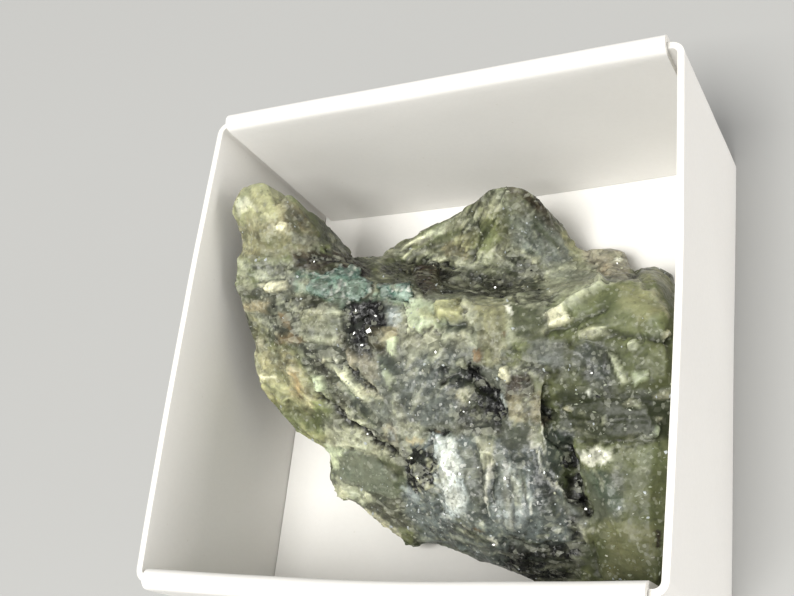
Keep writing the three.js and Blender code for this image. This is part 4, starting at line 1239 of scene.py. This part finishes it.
r = np.random.default_rng(77)
few = 1.0
chips = Chips()
pale_w = near_colour("pale", 0.08) + 0.8 * near_colour("cream", 0.08) + 0.01
wax_w = near_colour("olive", 0.06) + near_colour("yellow", 0.06)
scatter(chips, pale_w, int(120 * few), (0.12, 0.5), prop("pale")[:3], r, 0.4)
scatter(chips, wax_w, int(40 * few), (0.12, 0.5), prop("pale")[:3] * 0.9, r, 0.3, (0.25, 0.6), along=(1, 0.1, 0.1))
glassy = calm * shown * smooth(330, 350, v)
scatter(chips, glassy, int(150 * few), (0.09, 0.42), srgb(150, 157, 133), r, 0.15, (0.25, 0.6), 0.10, along=(1, 0.1, 0.1))
broken = cover_of(u, v, [(262, 292), (345, 302), (400, 335), (545, 340), (548, 425), (440, 432), (400, 460), (320, 410), (270, 380)], None, 10) * shown
scatter(chips, broken * clear, int(170 * few), (0.08, 0.34), srgb(164, 166, 144), r, 0.25, (0.3, 0.7), 0.10)
chips.make("cleavage_chips", flake_material("cleavage_chips", 0.30, 0.35, 1.56))
mica = Chips()
mica_w = near_colour("silver", 0.07) + 0.25 * near_colour("steel", 0.05) + 0.003
scatter(mica, mica_w, int(240 * few), (0.10, 0.45), srgb(178, 184, 184), r, 0.4, (0.5, 0.95), 0.10)
to_key = np.array((-0.035, -0.316, 0.948))
for gu, gv, size in GLINTS:
    h, nr, _, _ = stone_tree.ray_cast(Vector(EYE), Vector(view_ray(gu, gv)), 400.0)
    if h is not None:
        h = np.array(h)
        eye = (EYE - h) / np.linalg.norm(EYE - h)
        # near-white colour, partly a painted highlight
        mica.plate(h + np.array(nr) * 0.06, eye + to_key + 0.06 * r.normal(size=3), r.normal(size=3), size * 0.055,
                   size * 0.055 * r.uniform(0.5, 0.9), 0.06, srgb(212, 213, 206), r, sides=int(r.integers(4, 7)), taper=0.9)
mica.make("silver_mica_flakes", flake_material("silver_mica", 0.20, 0.0, 1.75, 0.12))
bio = Chips()
dark_w = (near_colour("black", 0.03) + 0.2 * near_colour("brown", 0.03)) * (1 - cover_of(u, v, [(300, 450), (400, 455), (420, 560), (300, 540)], None, 10))
scatter(bio, dark_w, int(220 * few), (0.12, 0.45), srgb(18, 17, 16), r, 0.5, (0.5, 0.95), 0.14, vary=0.4)
bio.make("biotite_flakes", flake_material("biotite", 0.34, 0.0, 1.50))


# ---------------------------------------------------------------- card tray
TRAY, FOLD_H, SIDE_H, CARD = 40.0, 18.16, 17.37, 0.5
LEAN_X, LEAN_Y = 0.50, 0.39


class Sheets:
    """Thick bent sheets of card in one mesh. Second material on cut edges."""

    def __init__(self):
        self.p, self.f, self.m = [], [], []

    def ribbon(self, path, run, place, thick=CARD):
        """Closed sheet along a 2-D centre path, drawn out over run."""
        path = np.array(path, float)
        tan = np.gradient(path, axis=0)
        tan /= np.linalg.norm(tan, axis=1)[:, None]
        nor = np.stack([tan[:, 1], -tan[:, 0]], 1)
        both = np.concatenate([path + nor * thick / 2, path - nor * thick / 2])
        n, m, i0 = len(path), len(run), len(self.p)
        a, b, s = np.tile(both[:, 0], m), np.tile(both[:, 1], m), np.repeat(np.asarray(run), 2 * n)
        self.p += np.stack(place(a, b, s), 1).tolist()
        idx = lambda j, side, k: i0 + j * 2 * n + side * n + k
        for j in range(m - 1):
            for k in range(n - 1):
                self.f.append((idx(j, 0, k), idx(j, 0, k + 1), idx(j + 1, 0, k + 1), idx(j + 1, 0, k)))
                self.f.append((idx(j, 1, k), idx(j + 1, 1, k), idx(j + 1, 1, k + 1), idx(j, 1, k + 1)))
                self.m += [0, 0]
            self.f.append((idx(j, 0, 0), idx(j + 1, 0, 0), idx(j + 1, 1, 0), idx(j, 1, 0)))
            self.f.append((idx(j, 0, n - 1), idx(j, 1, n - 1), idx(j + 1, 1, n - 1), idx(j + 1, 0, n - 1)))
            self.m += [1, 1]
        for k in range(n - 1):
            self.f.append((idx(0, 0, k), idx(0, 1, k), idx(0, 1, k + 1), idx(0, 0, k + 1)))
            self.f.append((idx(m - 1, 0, k), idx(m - 1, 0, k + 1), idx(m - 1, 1, k + 1), idx(m - 1, 1, k)))
            self.m += [1, 1]


def line(a, b, n):
    t = np.linspace(0, 1, n)[:, None]
    return (np.array(a) * (1 - t) + np.array(b) * t).tolist()


def arc(c, r, a0, a1, n):
    t = np.radians(np.linspace(a0, a1, n))
    return np.stack([c[0] + r * np.cos(t), c[1] + r * np.sin(t)], 1).tolist()


def wave(x, z, seed, amp):
    return amp * fbm(np.stack([x * 0.09, z * 0.12, np.full(len(x), seed * 3.1)], 1), seed, 3)


def rolled(sign):
    """Front or back wall: a sheet folded over its top edge."""
    def place(a, b, x):
        up = b / FOLD_H
        y, z = a + LEAN_Y * up, b
        inner = 1 - smooth(18.9, 19.2, a)
        low = np.clip(1 - b / 17.5, 0, 1)
        sag = 0.45 if sign > 0 else 0.25
        y = y - sag * inner * low ** 1.3 * np.clip(1 - ((x + 4 * sign) / 22) ** 2, 0, 1)
        if sign < 0:
            y = y + 0.49 * np.clip(up, 0, 1) ** 1.5 * np.cos(np.pi * x / 40.0)
        y = y + wave(x, b, 3 if sign > 0 else 8, 0.06) * np.clip(b / 6, 0, 1)
        z = z + wave(x, np.full(len(x), 3.0), 5 if sign > 0 else 9, 0.06) * up
        return x * (1 + LEAN_X / 20 * up), sign * y, z
    return place


def side_wall(sign):
    def place(a, b, z):
        up = z / FOLD_H
        outer = smooth(18.6, 19.4, a)
        bow = 0.33 * np.clip(np.cos(np.pi * b / 40.0), 0, 1) * up * outer
        w = wave(b, z, 12 if sign > 0 else 14, 0.05) * outer
        top = wave(b, np.full(len(b), 1.0), 16 if sign > 0 else 18, 0.05) * np.clip(z / SIDE_H, 0, 1) ** 4
        return sign * (a * (1 + LEAN_X / 19.75 * up) + bow + w), sign * b * (1 + LEAN_Y / 19.2 * up), z + top
    return place


def base_sheet(a, b, s):
    return a, s, b + np.where(b > 0.25, 0.03 * fbm(np.stack([a * 0.1, s * 0.1, np.full(len(a), 2.0)], 1), 4, 2), 0.0)


tray = Sheets()
fx = np.linspace(-TRAY / 2 + 1.2, TRAY / 2 - 1.2, 76)
yc = TRAY / 2 - 0.8
wall = line((TRAY / 2 - 0.25, 0.02), (TRAY / 2 - 0.25, FOLD_H - 0.8), 26)[:-1] \
    + arc((yc, FOLD_H - 0.8), 0.55, 0, 180, 13) + line((yc - 0.55, FOLD_H - 0.8), (yc - 0.55, 0.56), 26)[1:]
tray.ribbon(wall, fx, rolled(1))
tray.ribbon(wall, fx[::-1], rolled(-1))
ys = TRAY / 2 - 0.8
side = line((8.5, -ys), (19.0, -ys), 12)[:-1] + arc((19.0, -ys + 0.75), 0.75, -90, 0, 8) \
    + line((19.75, -ys + 0.75), (19.75, ys - 0.75), 70)[1:-1] + arc((19.0, ys - 0.75), 0.75, 0, 90, 8) \
    + line((19.0, ys), (8.5, ys), 12)[1:]
zr = np.linspace(0.02, SIDE_H, 30)
tray.ribbon(side, zr, side_wall(1))
tray.ribbon(side, zr, side_wall(-1))
tray.ribbon(line((-19.45, 0.25), (19.45, 0.25), 60)[::-1], np.linspace(-18.85, 18.85, 60), base_sheet)


def card_material(name, tone, fibres):
    n = Nodes(name)
    b = n.bsdf
    broad = n.noise(90, 3.0, 0.5)
    fine = n.noise(2600, 4.0, 0.6)
    fib = n.noise(1.0, 4.0, 0.65, n.coord((700, 2600, 900)))
    c = n.mix(n.ramp(broad, 0.3, 0.7, 0.0, 1.0), [x * 0.965 for x in tone], tone)
    c = n.mix(n.ramp(fine, 0.3, 0.75, 0.0, 0.10 + fibres), c, [x * 0.82 for x in tone])
    speck = n.voronoi(520)
    c = n.mix(n.ramp(speck, 0.035, 0.06, 0.15, 0.0), c, (0.50, 0.46, 0.38))
    n.link(c, b.inputs["Base Color"])
    n.link(n.ramp(fine, 0.3, 0.7, 0.55, 0.75), b.inputs["Roughness"])
    b.inputs["Specular IOR Level"].default_value = 0.35
    b.inputs["Subsurface Weight"].default_value = 0.08
    b.inputs["Subsurface Radius"].default_value = (1.0, 0.9, 0.8)
    b.inputs["Subsurface Scale"].default_value = 0.0008
    h = n.math("ADD", n.math("MULTIPLY", fib, 0.7), fine)
    n.link(n.bump(h, 0.14 + fibres, 0.00006), b.inputs["Normal"])
    return n.m


card = card_material("white_card", (0.80, 0.785, 0.75), 0.0)
cut = card_material("cut_card_edge", (0.76, 0.74, 0.69), 0.25)
box_o = new_object("card_tray", np.array(tray.p), tray.f, [card, cut], True, tray.m)
box_o.data.set_sharp_from_angle(angle=math.radians(40))
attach(box_o, "root")
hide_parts("specimen_box")

# ---------------------------------------------------------------- stage and light
fm = bpy.data.meshes.new("floor")
fm.from_pydata([(-1.5, -1.5, 0), (1.5, -1.5, 0), (1.5, 1.5, 0), (-1.5, 1.5, 0)], [], [(0, 1, 2, 3)])
floor = bpy.data.objects.new("floor", fm)
scene.collection.objects.link(floor)
nf = Nodes("pale_floor")
nf.link(nf.mix(nf.noise(6, 3.0), (0.36, 0.36, 0.35), (0.40, 0.40, 0.39)), nf.bsdf.inputs["Base Color"])
nf.bsdf.inputs["Roughness"].default_value = 0.8
fm.materials.append(nf.m)


def area(name, loc, target, size, power, colour=(1, 1, 1)):
    d = bpy.data.lights.new(name, "AREA")
    d.shape = "RECTANGLE"
    d.size, d.size_y = size
    d.energy = power
    d.color = colour
    o = bpy.data.objects.new(name, d)
    o.location = loc
    o.rotation_euler = (Vector(target) - Vector(loc)).to_track_quat("-Z", "Y").to_euler()
    scene.collection.objects.link(o)
    return o


area("key", (-0.02, -0.18, 0.54), (0, 0, 0.01), (0.26, 0.26), 3.75, (1.0, 0.99, 0.965))
area("fill", (0.50, -0.05, 0.055), (0, 0, 0.01), (0.4, 0.08), 1.1, (1.0, 0.975, 0.96))
world = bpy.data.worlds.new("studio")
world.use_nodes = True
world.node_tree.nodes["Background"].inputs["Color"].default_value = (1.0, 1.0, 1.0, 1.0)
world.node_tree.nodes["Background"].inputs["Strength"].default_value = 0.60
scene.world = world
scene.view_settings.view_transform = "Standard"
